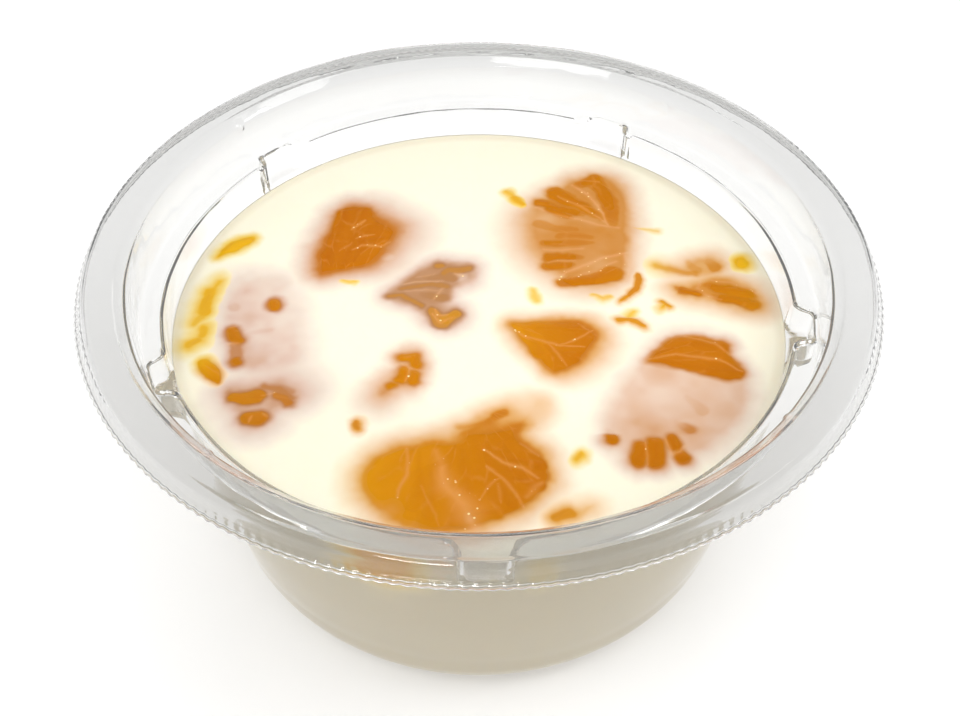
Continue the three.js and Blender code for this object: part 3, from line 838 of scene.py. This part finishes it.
pieces.append(Piece(
    "mandarin_front_left",
    edge=[(-39.8, -19.8), (-37, -18.9), (-34, -18), (-30.8, -18), (-29, -19.8), (-29.7, -22.1),
          (-32.2, -23.6), (-33, -26), (-35.2, -26.7), (-37, -25), (-38.6, -22)],
    film=0.2, fade=2.6, ripe=0.74, depth=6, hinge=(-42, -20), drift=(0.2, 0.5), blush=(0.03, -0.02),
    pulp=0.3, glow=0.0, rim=0.5,
    sacs=[([(-38.8, -20.8), (-37, -21), (-35.3, -20.5)], 3.4, -0.36, 0.8),
          ([(-34.3, -18.5), (-31.7, -19.2), (-29.5, -20.9)], 1.1, 0.08, 0.9),
          ([(-32.4, -20.4), (-30.8, -21), (-29.8, -22.2)], 1.2, 0.02, 0.8),
          ([(-31.6, -18.6), (-29.6, -19.4)], 1.0, 0.13), ([(-36, -25.5), (-34.1, -25.3)], 3.5, -0.4, 0.9)],
    thin=[(-31.6, -20.4, 2.6, 0.06)],
    pith=[([(-35.6, -26.2), (-35.2, -25.2)], 0.5, 0.7), ([(-33.6, -24.4), (-33, -25)], 0.6, 0.6),
          ([(-34.4, -20.6), (-32.4, -19.8)], 0.5, 0.4)]))
pieces.append(Piece(
    "juice_sacs_left",
    edge=[(-45.5, 8.2), (-46.4, 5.6), (-47.6, 3.6), (-48, 0.4), (-48.3, -2), (-47.9, -4.6),
          (-48.4, -8), (-47.8, -10), (-46.6, -9.6), (-46.1, -7.6), (-45.8, -4.8), (-46.3, -1.2),
          (-46, 2), (-46, 5)],
    film=0.3, fade=1.3, ripe=0.05, depth=4, hinge=(-44, 12), rim=0.3,
    sacs=[([(-46.7, 4), (-47.1, 1), (-46.9, -1)], 2.4, 0.01, 0.7),
          ([(-45.7, 7), (-46.3, 4.8)], 0.8, 0.05, 0.9),
          ([(-47.3, -2.4), (-48, -3.8)], 1.2, 0.06, 0.9), ([(-46.2, -5), (-46.4, -6.6)], 1.3, 0.03, 0.9),
          ([(-46.7, -8), (-47.9, -9.2)], 1.7, 0.03, 0.9)]))
pieces.append(Piece(
    "juice_sac_front_left",
    edge=[(-45.7, -13.2), (-44.9, -12.3), (-43.4, -13), (-42.3, -14.5), (-41.9, -16), (-41.9, -17.9),
          (-43.8, -16.3)],
    film=-0.34, fade=0.85, ripe=0.33, depth=2.5, hinge=(-46, -12), blush=(0.05, -0.05), rim=0.05))
pieces.append(Piece(
    "juice_sac_back_left",
    edge=[(-47.2, 13.5), (-45.6, 14.1), (-43, 15.8), (-41.4, 18), (-41.6, 19.3), (-43.6, 18.6),
          (-46.1, 16.6)],
    film=-0.34, fade=0.95, ripe=0.05, depth=2.5, hinge=(-48, 12), rim=0.25))
print("pieces", len(pieces))

# %% [markdown]
# ## Loose sacs and strings
# Single sacs and threads of pith float free, most of them just under the surface. Each is
# a short bent line with a width. They are bumps in the milk, not pieces of their own.

# %% Lay out the loose sacs
loose_lines = [
    # points, width, ripeness, film over it
    ([(5.2, 33), (6.6, 31.4)], 1.9, 0.12, 0.06), ([(6.8, 31), (8, 28.8)], 2.2, 0.1, 0.0),
    ([(-23.8, 7), (-21.8, 6.6)], 1.0, 0.1, 0.1), ([(9.6, 4.2), (9.9, 2)], 1.4, 0.08, 0.12),
    ([(23.6, -3.2), (25.4, -3.1), (28, -4.5)], 1.2, 0.35, -0.04),
    ([(25.2, -2.2), (26.2, -0.8)], 1.1, 0.1, 0.08),
    ([(31.4, 1.5), (32.2, 0.8), (32.8, 0.3)], 1.1, 0.3, -0.02),
    ([(31.2, -0.2), (32, 0.9)], 0.9, 0.2, 0.04),
    ([(-18.9, -26), (-18.6, -27.4)], 1.9, 0.55, 0.02), ([(14.8, -34), (15.9, -32.4)], 1.6, 0.12, 0.03),
    ([(27.9, 8.4), (27.7, 5.4), (26.2, 3.2)], 1.2, 0.5, -0.06),
    ([(26.4, 3.4), (24.4, 2)], 0.9, 0.35, -0.02),
    ([(19.6, 3.4), (21.2, 2.2), (22.6, 3)], 0.9, 0.2, 0.1), ([(28.6, 22), (33, 21)], 0.8, 0.2, 0.22),
]


def loose_film(x, y):
    """Milk film over the loose sacs, and the ripeness of the nearest."""
    film, ripe = np.ones(x.shape), np.zeros(x.shape)
    x, y = pushed(x, y, 0.4)
    for line, width, tone, over in loose_lines:
        far, place = line_distance(x, y, line)
        half = 0.4 * width * (0.45 + 0.55 * np.sin(math.pi * (0.15 + 0.7 * place)))
        here = over + 0.1 * np.minimum(far / half, 1) ** 2 + 0.55 * np.maximum(far - half, 0) ** 1.1
        ripe = np.where(here < film, tone, ripe)
        film = np.minimum(film, here)
    return film, ripe

# %% [markdown]
# ## A disc of even squares
# Polar grids crowd at the middle. A square grid can be bent into a disc instead, with
# its outermost squares lying along the circle, so every cell has about the same size.

# %% Bend a square grid into a disc
def disc_grid(cells):
    """Unit-disc points of a bent grid, its faces, and the indices round its edge."""
    line = np.linspace(-1, 1, cells + 1)
    a, b = np.meshgrid(line, line)
    wide = np.abs(a) > np.abs(b)
    safe_a, safe_b = np.where(a == 0, 1, a), np.where(b == 0, 1, b)
    radius = np.where(wide, a, b)
    angle = np.where(wide, math.pi / 4 * b / safe_a, math.pi / 2 - math.pi / 4 * a / safe_b)
    x, y = (radius * np.cos(angle)).ravel(), (radius * np.sin(angle)).ravel()
    ids = np.arange((cells + 1) ** 2).reshape(cells + 1, cells + 1)
    faces = np.stack([ids[:-1, :-1], ids[:-1, 1:], ids[1:, 1:], ids[1:, :-1]], -1).reshape(-1, 4)
    rim = np.concatenate([ids[0, :-1], ids[:-1, -1], ids[-1, :0:-1], ids[:0:-1, 0]])
    return x, y, faces, rim

# %% [markdown]
# ## The fruit as meshes
# The top of each piece is such a disc, stretched to the piece's own outline, with every
# point as high as the film rule says. Below, rings of points shrink towards the bottom.

# %% Build one piece of fruit
CELL = 0.2 / FINE
FILM_ON_FRUIT = 0.12
FLAT = 0.45
UNDER_MILK = 0.5
SHOULDER = 1.0


def outline_reach(loop, middle, angle):
    """How far the loop lies from the middle in each direction."""
    reach = np.zeros(angle.shape)
    ux, uy = np.cos(angle), np.sin(angle)
    for (ax, ay), (bx, by) in zip(loop - middle, np.roll(loop, -1, axis=0) - middle):
        ex, ey = bx - ax, by - ay
        cross = ux * ey - uy * ex
        cross = np.where(np.abs(cross) < 1e-9, 1e-9, cross)
        t = (ax * ey - ay * ex) / cross
        s = (ax * uy - ay * ux) / cross
        reach = np.where((s >= -1e-6) & (s <= 1 + 1e-6) & (t > 0), np.maximum(reach, t), reach)
    return reach


def build_piece(piece, name):
    span = piece.loop.max(0) - piece.loop.min(0)
    cells = max(16, int(max(span) * 0.85 / CELL))
    ux, uy, faces, rim = disc_grid(cells)
    angle = np.arctan2(uy, ux)
    share = np.hypot(ux, uy)
    reach = outline_reach(piece.loop, piece.middle, angle) + UNDER_MILK
    x = piece.middle[0] + np.cos(angle) * reach * share
    y = piece.middle[1] + np.sin(angle) * reach * share
    film, core = piece.thickness(x, y)
    border = np.clip((1 - share) * reach / 0.9, 0, 1)
    stand = FLAT * np.clip(-film, 0, 0.5) * border
    z = MILK_LEVEL + np.where(film < 0, stand - 0.03 * (1 - border), -np.minimum(film, 1))
    points = [np.stack([x, y, z], 1)]
    faces = [tuple(f) for f in faces]
    rings = [list(rim)]
    total = len(x)
    for degrees in (12, 26, 42, 60, 78):
        turn = math.radians(degrees)
        shrink = math.cos(turn) ** 0.55
        low = MILK_LEVEL - SHOULDER - (piece.depth - SHOULDER) * math.sin(turn)
        ring = np.stack([piece.middle[0] + (x[rim] - piece.middle[0]) * shrink,
                         piece.middle[1] + (y[rim] - piece.middle[1]) * shrink,
                         np.minimum(z[rim] - 0.1, low)], 1)
        points.append(ring)
        rings.append(list(range(total, total + len(rim))))
        total += len(rim)
    faces += [tuple(reversed(f)) for f in stitch(rings)]
    faces.append(tuple(rings[-1])[::-1])
    points = np.concatenate(points)
    spare = len(points) - len(x)
    pad = np.zeros(spare)
    across, along = piece.fan(points[:, 0], points[:, 1])
    attributes = {
        "core": np.concatenate([core, pad]),
        "pith": np.concatenate([piece.pith_at(x, y), pad]),
        "ripe": piece.ripe_at(points[:, 0], points[:, 1]),
        "pulp": np.full(len(points), piece.pulp),
        "glow": np.full(len(points), piece.glow),
        "film": np.concatenate([np.clip(film, -0.5, FILM_ON_FRUIT), pad + FILM_ON_FRUIT]),
        "across": across,
        "along": along,
    }
    return make_object(name, points, faces, attributes)

# %% [markdown]
# ## Sacs inside the flesh
# Flesh is packed with juice sacs. In the piece's own fan they are long cells: each has its
# own shade, and some of the borders between them show as pale threads. Bent a little by
# noise, no two look alike.

# %% The pattern of sacs
def sac_pattern(tree):
    """The shade of each cell, and how pale the border is, both from 0 to 1."""
    place = add_node(tree, "CombineXYZ", X=read_attribute(tree, "across"),
                     Y=read_attribute(tree, "along")).outputs[0]
    bend = add_node(tree, "TexNoise", Vector=place, Scale=0.9)
    bent = add_node(tree, "VectorMath")
    bent.operation = "MULTIPLY_ADD"
    for socket, value in zip(bent.inputs, (bend.outputs["Color"], (0.9, 0.9, 0), place)):
        fill_socket(tree, socket, value)
    cells = add_node(tree, "TexVoronoi")
    border = add_node(tree, "TexVoronoi")
    border.feature = "DISTANCE_TO_EDGE"
    for node in (cells, border):
        node.voronoi_dimensions = "2D"
        node.inputs["Scale"].default_value = 1.0
        tree.links.new(bent.outputs[0], node.inputs["Vector"])
    shade = add_node(tree, "SeparateColor", Color=cells.outputs["Color"])
    thread = soft_step(tree, border.outputs["Distance"], 0.12, 0.0)
    here_and_there = soft_step(tree, noise(tree, 300), 0.42, 0.66)
    return shade.outputs[0], scaled(tree, thread, here_and_there)

# %% [markdown]
# ## One colour rule for fruit and milk
# Milk scatters light, so a thin film over orange doesn't look like thin orange paint: it
# turns brown, then mauve and pink, before it is white. The flesh's own colour runs from
# yellow to deep orange with ripeness. Fruit and milk use this same rule, so no seam shows
# where the milk closes over the fruit.

# %% The colour of flesh, and of milk over it
CREAM = srgb(253, 245, 222)
PALE_THREAD = srgb(220, 150, 76)
MILKY_THREAD = srgb(226, 184, 146)
PAINTED_GLINT = srgb(255, 226, 160)
PULP = srgb(186, 138, 66)
DULL_PULP = srgb(162, 118, 72)


def flesh_colour(tree):
    ripe = read_attribute(tree, "ripe")
    plain = colour_ramp(tree, ripe, [
        (0.0, srgb(234, 180, 30)), (0.35, srgb(216, 144, 8)), (0.65, srgb(203, 125, 2)),
        (1.0, srgb(193, 110, 0))])
    deep = colour_ramp(tree, ripe, [
        (0.0, srgb(226, 166, 12)), (0.5, srgb(196, 118, 0)), (1.0, srgb(178, 94, 0))])
    shade, thread = sac_pattern(tree)
    shaded = mix_colour(tree, scaled(tree, shade, 0.5), plain, deep)
    cored = mix_colour(tree, scaled(tree, read_attribute(tree, "core"), 0.35), shaded, deep)
    mottled = mix_colour(tree, scaled(tree, noise(tree, 700), 0.08), cored, PALE_THREAD)
    threaded = mix_colour(tree, scaled(tree, thread, 0.22), mottled, PALE_THREAD)
    return mix_colour(tree, scaled(tree, read_attribute(tree, "pulp"), 0.4), threaded, PULP)


def painted_glints(tree, pith):
    """Painted highlights: tiny bright points, only along the threads."""
    place = add_node(tree, "TexCoord").outputs["Object"]
    dots = add_node(tree, "TexVoronoi", Vector=place, Scale=900)
    some = soft_step(tree, noise(tree, 420), 0.44, 0.52)
    near_thread = scaled(tree, soft_step(tree, pith, 0.12, 0.35), some)
    return scaled(tree, soft_step(tree, dots.outputs["Distance"], 0.22, 0.12), near_thread)


def surface_colour(tree):
    film = read_attribute(tree, "film")
    # The haze over orange comes as a shadowy copy and a lit copy, painted shade and painted light, which
    # each piece mixes in its own share.
    over_orange = colour_ramp(tree, film, [
        (0.0, srgb(191, 114, 19)), (0.04, srgb(188, 118, 47)), (0.09, srgb(194, 132, 84)),
        (0.14, srgb(203, 150, 114)), (0.21, srgb(213, 173, 148)), (0.32, srgb(222, 193, 176)),
        (0.46, srgb(229, 211, 195)), (0.64, srgb(239, 225, 209)), (1.0, CREAM)])
    over_lit = colour_ramp(tree, film, [
        (0.0, srgb(205, 132, 28)), (0.06, srgb(217, 154, 64)), (0.12, srgb(225, 170, 94)),
        (0.2, srgb(231, 186, 127)), (0.28, srgb(236, 199, 151)), (0.4, srgb(241, 212, 174)),
        (0.56, srgb(246, 225, 194)), (0.8, srgb(251, 239, 213)), (1.0, CREAM)])
    over_yellow = colour_ramp(tree, film, [
        (0.0, srgb(232, 184, 44)), (0.1, srgb(236, 194, 84)), (0.25, srgb(240, 210, 128)),
        (0.45, srgb(243, 223, 165)), (0.7, srgb(248, 236, 200)), (1.0, CREAM)])
    over_orange = mix_colour(tree, read_attribute(tree, "glow"), over_orange, over_lit)
    warm = soft_step(tree, read_attribute(tree, "ripe"), 0.05, 0.42)
    veil = mix_colour(tree, warm, over_yellow, over_orange)
    dulled = scaled(tree, read_attribute(tree, "pulp"), soft_step(tree, film, 0.4, 0.0))
    veil = mix_colour(tree, dulled, veil, DULL_PULP)
    colour = mix_colour(tree, soft_step(tree, film, -0.02, 0.11), flesh_colour(tree), veil)
    pith = read_attribute(tree, "pith")
    thread = mix_colour(tree, soft_step(tree, film, 0, 0.2), PALE_THREAD, MILKY_THREAD)
    colour = mix_colour(tree, scaled(tree, pith, 0.9), colour, thread)
    # Painted highlights: bright specks along the threads.
    return mix_colour(tree, painted_glints(tree, pith), colour, PAINTED_GLINT)

# %% [markdown]
# ## Mandarin flesh
# Flesh is wet and lets light in, so it has some subsurface scattering and little gloss;
# its few bright specks are painted highlights in its colour. A fine bump breaks up the gloss.

# %% Make the flesh material
def fine_bump(tree, shader, scale, strength):
    bump = add_node(tree, "Bump", Strength=strength, Distance=0.0002, Height=noise(tree, scale, 3))
    tree.links.new(bump.outputs["Normal"], shader.inputs["Normal"])


flesh, flesh_tree, flesh_shader = start_material(
    "mandarin_flesh", Roughness=0.3, Specular_IOR_Level=0.04, Subsurface_Weight=0.25,
    Subsurface_Scale=0.0012, Subsurface_Radius=(1.0, 0.4, 0.1))
flesh_tree.links.new(surface_colour(flesh_tree), flesh_shader.inputs["Base Color"])
fine_bump(flesh_tree, flesh_shader, 1400, 0.35)
print("flesh nodes", len(flesh_tree.nodes))

# %% Build all pieces of fruit
for piece in pieces:
    fruit = build_piece(piece, piece.node + "_flesh")
    fruit.data.materials.append(flesh)
    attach(fruit, "root")
    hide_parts(piece.node)

# %% [markdown]
# ## The milk
# The milk's top is one large disc of even squares. Each point asks every piece how thick
# the milk lies there and keeps the thinnest answer. Where two pieces are about equally
# near, their colours are mixed, so no hard border shows between them. Below its top the
# milk is a turned solid that reaches just into the cup's wall, so no gap of air shows.

# %% Film over the whole surface
BLEND = 0.04
BUMP_FILM = 0.16
# Loose sacs get a mostly lit haze: painted light.
LOOSE_HAZE_PAINTED_LIGHT = 0.9


def milk_film(x, y):
    film, ripe = loose_film(x, y)
    values = {name: np.zeros(x.shape) for name in ("pith", "core", "across", "along")}
    values["bump"] = np.clip(BUMP_FILM - film, 0, BUMP_FILM) / BUMP_FILM
    pull = np.exp(-film / BLEND)
    mixed = {"ripe": ripe * pull, "pulp": 0 * pull, "glow": LOOSE_HAZE_PAINTED_LIGHT * pull}
    for piece in pieces:
        near = np.flatnonzero(piece.near(x, y))
        here, core = piece.thickness(x[near], y[near])
        thinner = here < film[near]
        film[near] = soft_least(film[near], here, JOIN_SOFTNESS)
        force = np.exp(-here / BLEND)
        pull[near] += force
        mixed["ripe"][near] += piece.ripe_at(x[near], y[near]) * force
        mixed["pulp"][near] += piece.pulp * force
        mixed["glow"][near] += piece.glow * force
        near, core = near[thinner], core[thinner]
        across, along = piece.fan(x[near], y[near])
        values["bump"][near] = 0
        values["pith"][near] = piece.pith_at(x[near], y[near])
        values["core"][near] = core
        values["across"][near] = across
        values["along"][near] = along
    for name, total in mixed.items():
        values[name] = total / pull
    return film, values


def wall_radius(height):
    """The inside of the cup's wall at a height."""
    line = np.array(base_turn(WALL) + [p[:2] for p in WALL_LINE] + [(MOUTH_RADIUS, LEDGE_HEIGHT)])
    return np.interp(height, line[:, 1], line[:, 0])


INTO_WALL = 0.12
MILK_FLOOR = WALL - INTO_WALL
# Painted shade for milk that lies against the wall.
SIDE_PAINTED_SHADE = srgb(178, 163, 130)
milk_cells = int(400 * FINE)
unit_x, unit_y, milk_faces, milk_rim = disc_grid(milk_cells)
milk_radius = wall_radius(MILK_LEVEL) + INTO_WALL
milk_x, milk_y = unit_x * milk_radius, unit_y * milk_radius
film, surface = milk_film(milk_x, milk_y)
print("share of the surface with fruit near it:", round(float((film < 0.98).mean()), 3))

# %% [markdown]
# The surface is flat but not dead: it swells a hair over sunken fruit, rises in small
# bumps at the loose sacs, creeps up the wall, and has slow shallow waves from setting.

# %% Raise the surface
CREEP_HEIGHT = 0.45
SWELL_HEIGHT = 0.05
LOOSE_BUMP = 0.22


def milk_height(x, y, film, bump):
    out = np.hypot(x, y)
    creep = CREEP_HEIGHT * np.exp(-(milk_radius - out) / 0.55)
    swell = SWELL_HEIGHT * np.exp(-((film - 0.3) / 0.3) ** 2)
    loose = LOOSE_BUMP * np.sqrt(bump)
    slow = 0.03 * np.sin(0.21 * x + 0.5) * np.sin(0.17 * y - 0.8) + 0.015 * np.sin(0.43 * x - 0.37 * y)
    return MILK_LEVEL - 0.02 + creep + swell + loose + slow * np.clip((50 - out) / 6, 0, 1)


milk_top = np.stack([milk_x, milk_y, milk_height(milk_x, milk_y, film, surface["bump"])], 1)
# Painted shade: the outer ring of the top is painted greyer, where the wall shades it.
painted_shade_share = 0.35 * np.clip((np.hypot(milk_x, milk_y) - (milk_radius - 2.0)) / 1.5, 0, 1)

# %% [markdown]
# ## The milk's side
# Rings go down the wall from the disc's rim and close over the flat base. The front
# segment leans on the wall, so it shines through there as a soft orange patch, and the
# scrap beside it gives a faint yellow one.

# %% Build the milk's side and base
side_patches = [
    # angle in degrees, height, half width in degrees, half height in mm, film, ripeness
    (-106, MILK_LEVEL - 4.0, 11.5, 8.8, -0.15, 0.0),
    (-96, MILK_LEVEL - 2.0, 4.0, 3.0, 0.2, 0.6),
    (-80, MILK_LEVEL - 4.5, 4.5, 6.0, 0.4, 0.0),
    (-88, MILK_LEVEL - 3.0, 2.2, 2.6, 0.35, 0.0),
]


def side_film(angle, height):
    film, ripe = np.ones(angle.shape), np.zeros(angle.shape)
    for at, level, half_turn, half_height, thin, tone in side_patches:
        turn = (np.degrees(angle) - at + 180) % 360 - 180
        away = (turn / half_turn) ** 2 + ((height - level) / half_height) ** 2
        here = thin + (1 - thin) * np.clip(away, 0, 1)
        ripe = np.where(here < film, tone, ripe)
        film = np.minimum(film, here)
    return np.maximum(film, 0), ripe


side_heights = [MILK_LEVEL - d for d in (0.6, 1.4, 2.4, 3.6, 5, 7, 9, 12, 16, 22, 29, 35)]
side_profile = [(wall_radius(h) + INTO_WALL, h) for h in side_heights]
side_profile += [(r + INTO_WALL, h) for r, h in base_turn(WALL)[::-1][1:-1]]
rim_angle = np.arctan2(unit_y[milk_rim], unit_x[milk_rim])
milk_points, milk_rings = [milk_top], [list(milk_rim)]
side_film_values, side_ripe_values = [], []
total = len(milk_top)
for radius, height in side_profile + [(24, MILK_FLOOR), (8, MILK_FLOOR)]:
    ring = np.stack([radius * np.cos(rim_angle), radius * np.sin(rim_angle),
                     np.full(len(rim_angle), max(height, MILK_FLOOR))], 1)
    milk_points.append(ring)
    milk_rings.append(list(range(total, total + len(milk_rim))))
    total += len(milk_rim)
    thin, tone = side_film(rim_angle, height)
    side_film_values.append(thin)
    side_ripe_values.append(tone)
milk_all = [tuple(f) for f in milk_faces] + [tuple(reversed(f)) for f in stitch(milk_rings)]
milk_all.append(tuple(milk_rings[-1])[::-1])
nothing = np.zeros(total - len(milk_top))
attributes = {name: np.concatenate([value, nothing]) for name, value in surface.items()}
attributes["ripe"] = np.concatenate([surface["ripe"]] + side_ripe_values)
attributes["film"] = np.concatenate([np.clip(film, -0.5, 1)] + side_film_values)
attributes["glow"] = np.concatenate([surface["glow"], nothing + 1])
attributes["painted_shade_share"] = np.concatenate([painted_shade_share] + side_film_values)
milk_jelly = make_object("set_milk_jelly", np.concatenate(milk_points), milk_all, attributes)

# %% [markdown]
# ## Set milk
# The milk takes the shared colour. It scatters light a little deeper than the fruit. Where
# it lies against the wall the cup shades it, and that shade is painted: a narrow band round
# its top and all of its side are painted greyer. That grey is fitted to the front of the
# cup: it looks dull from behind.

# %% Make the milk material
milk, milk_tree, milk_shader = start_material(
    "set_milk", Roughness=0.4, Specular_IOR_Level=0.15, Subsurface_Weight=0.25,
    Subsurface_Scale=0.0015, Subsurface_Radius=(1.0, 0.8, 0.55))
milk_painted_shade = scaled(milk_tree, read_attribute(milk_tree, "painted_shade_share"), 0.6)
milk_tree.links.new(mix_colour(milk_tree, milk_painted_shade, surface_colour(milk_tree), SIDE_PAINTED_SHADE),
                    milk_shader.inputs["Base Color"])
fine_bump(milk_tree, milk_shader, 500, 0.15)
milk_jelly.data.materials.append(milk)
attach(milk_jelly, "root")
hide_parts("milk_jelly")

# %% [markdown]
# ## Table, light and camera
# The cup stands on a plain pale table in a pale room. Two wide soft panels hang above it,
# left and right. A narrow lamp in front and one at the right draw thin bright lines along
# the plastic, and a panel behind lights the far rim.

# %% Build the table
TABLE_SIZE = 4.0
TABLE_DROP = 0.0003
bpy.ops.mesh.primitive_plane_add(size=TABLE_SIZE, location=(0, 0, -TABLE_DROP))
table = bpy.context.object
table.name = "table"
table_finish, _, _ = start_material(
    "table_white", Base_Color=(0.94, 0.94, 0.94, 1), Roughness=0.6,
    Emission_Color=(1, 1, 1, 1), Emission_Strength=0.1)
table.data.materials.append(table_finish)

# %% Hang the lights
LIGHT_TARGET = Vector((0, 0, 0.05))


def area_light(name, place, size, power):
    lamp = bpy.data.lights.new(name, "AREA")
    lamp.shape = "RECTANGLE"
    lamp.size, lamp.size_y = size
    lamp.energy = power
    thing = bpy.data.objects.new(name, lamp)
    thing.location = place
    thing.rotation_euler = (LIGHT_TARGET - Vector(place)).to_track_quat("-Z", "Y").to_euler()
    bpy.context.collection.objects.link(thing)


area_light("left_panel", (-0.26, -0.41, 0.92), (0.42, 0.3), 1.65)
area_light("right_panel", (0.55, -0.14, 0.88), (0.3, 0.42), 1.25)
area_light("front_spark", (-0.2, -0.8, 0.4), (0.26, 0.06), 1.4)
area_light("back_panel", (0.15, 0.9, 0.36), (0.5, 0.25), 0.9)
area_light("side_strip", (0.72, -0.12, 0.7), (0.34, 0.06), 0.35)
world = bpy.data.worlds.new("pale_room")
bpy.context.scene.world = world
world.use_nodes = True
world_tree = world.node_tree
direction = add_node(world_tree, "TexCoord").outputs["Generated"]
up = add_node(world_tree, "SeparateXYZ", Vector=direction).outputs["Z"]
sky = colour_ramp(world_tree, up, [
    (0.0, (0.82, 0.82, 0.82, 1)), (0.3, (0.71, 0.71, 0.71, 1)), (0.7, (0.92, 0.92, 0.92, 1))])
world_tree.links.new(sky, world_tree.nodes["Background"].inputs["Color"])

# %% Place the camera
PHOTO_SIZE = (960, 716)
FOCAL_PIXELS = 1134.9
MIDDLE_COLUMN = 478.8
SENSOR_WIDTH = 36.0
CAMERA_BACK = 0.14323
CAMERA_ABOVE_SKIRT = 0.12022
CAMERA_TILT = 45.15
camera_data = bpy.data.cameras.new("photo_camera")
camera_data.sensor_width = SENSOR_WIDTH
camera_data.lens = SENSOR_WIDTH * FOCAL_PIXELS / PHOTO_SIZE[0]
camera_data.shift_x = (PHOTO_SIZE[0] / 2 - MIDDLE_COLUMN) / PHOTO_SIZE[0]
camera_data.clip_start = 0.01
camera = bpy.data.objects.new("photo_camera", camera_data)
camera.location = (0, -CAMERA_BACK, SKIRT_EDGE * MM + CAMERA_ABOVE_SKIRT)
camera.rotation_euler = (math.radians(90 - CAMERA_TILT), 0, 0)
bpy.context.collection.objects.link(camera)
bpy.context.scene.camera = camera
bpy.context.scene.view_settings.view_transform = "Standard"
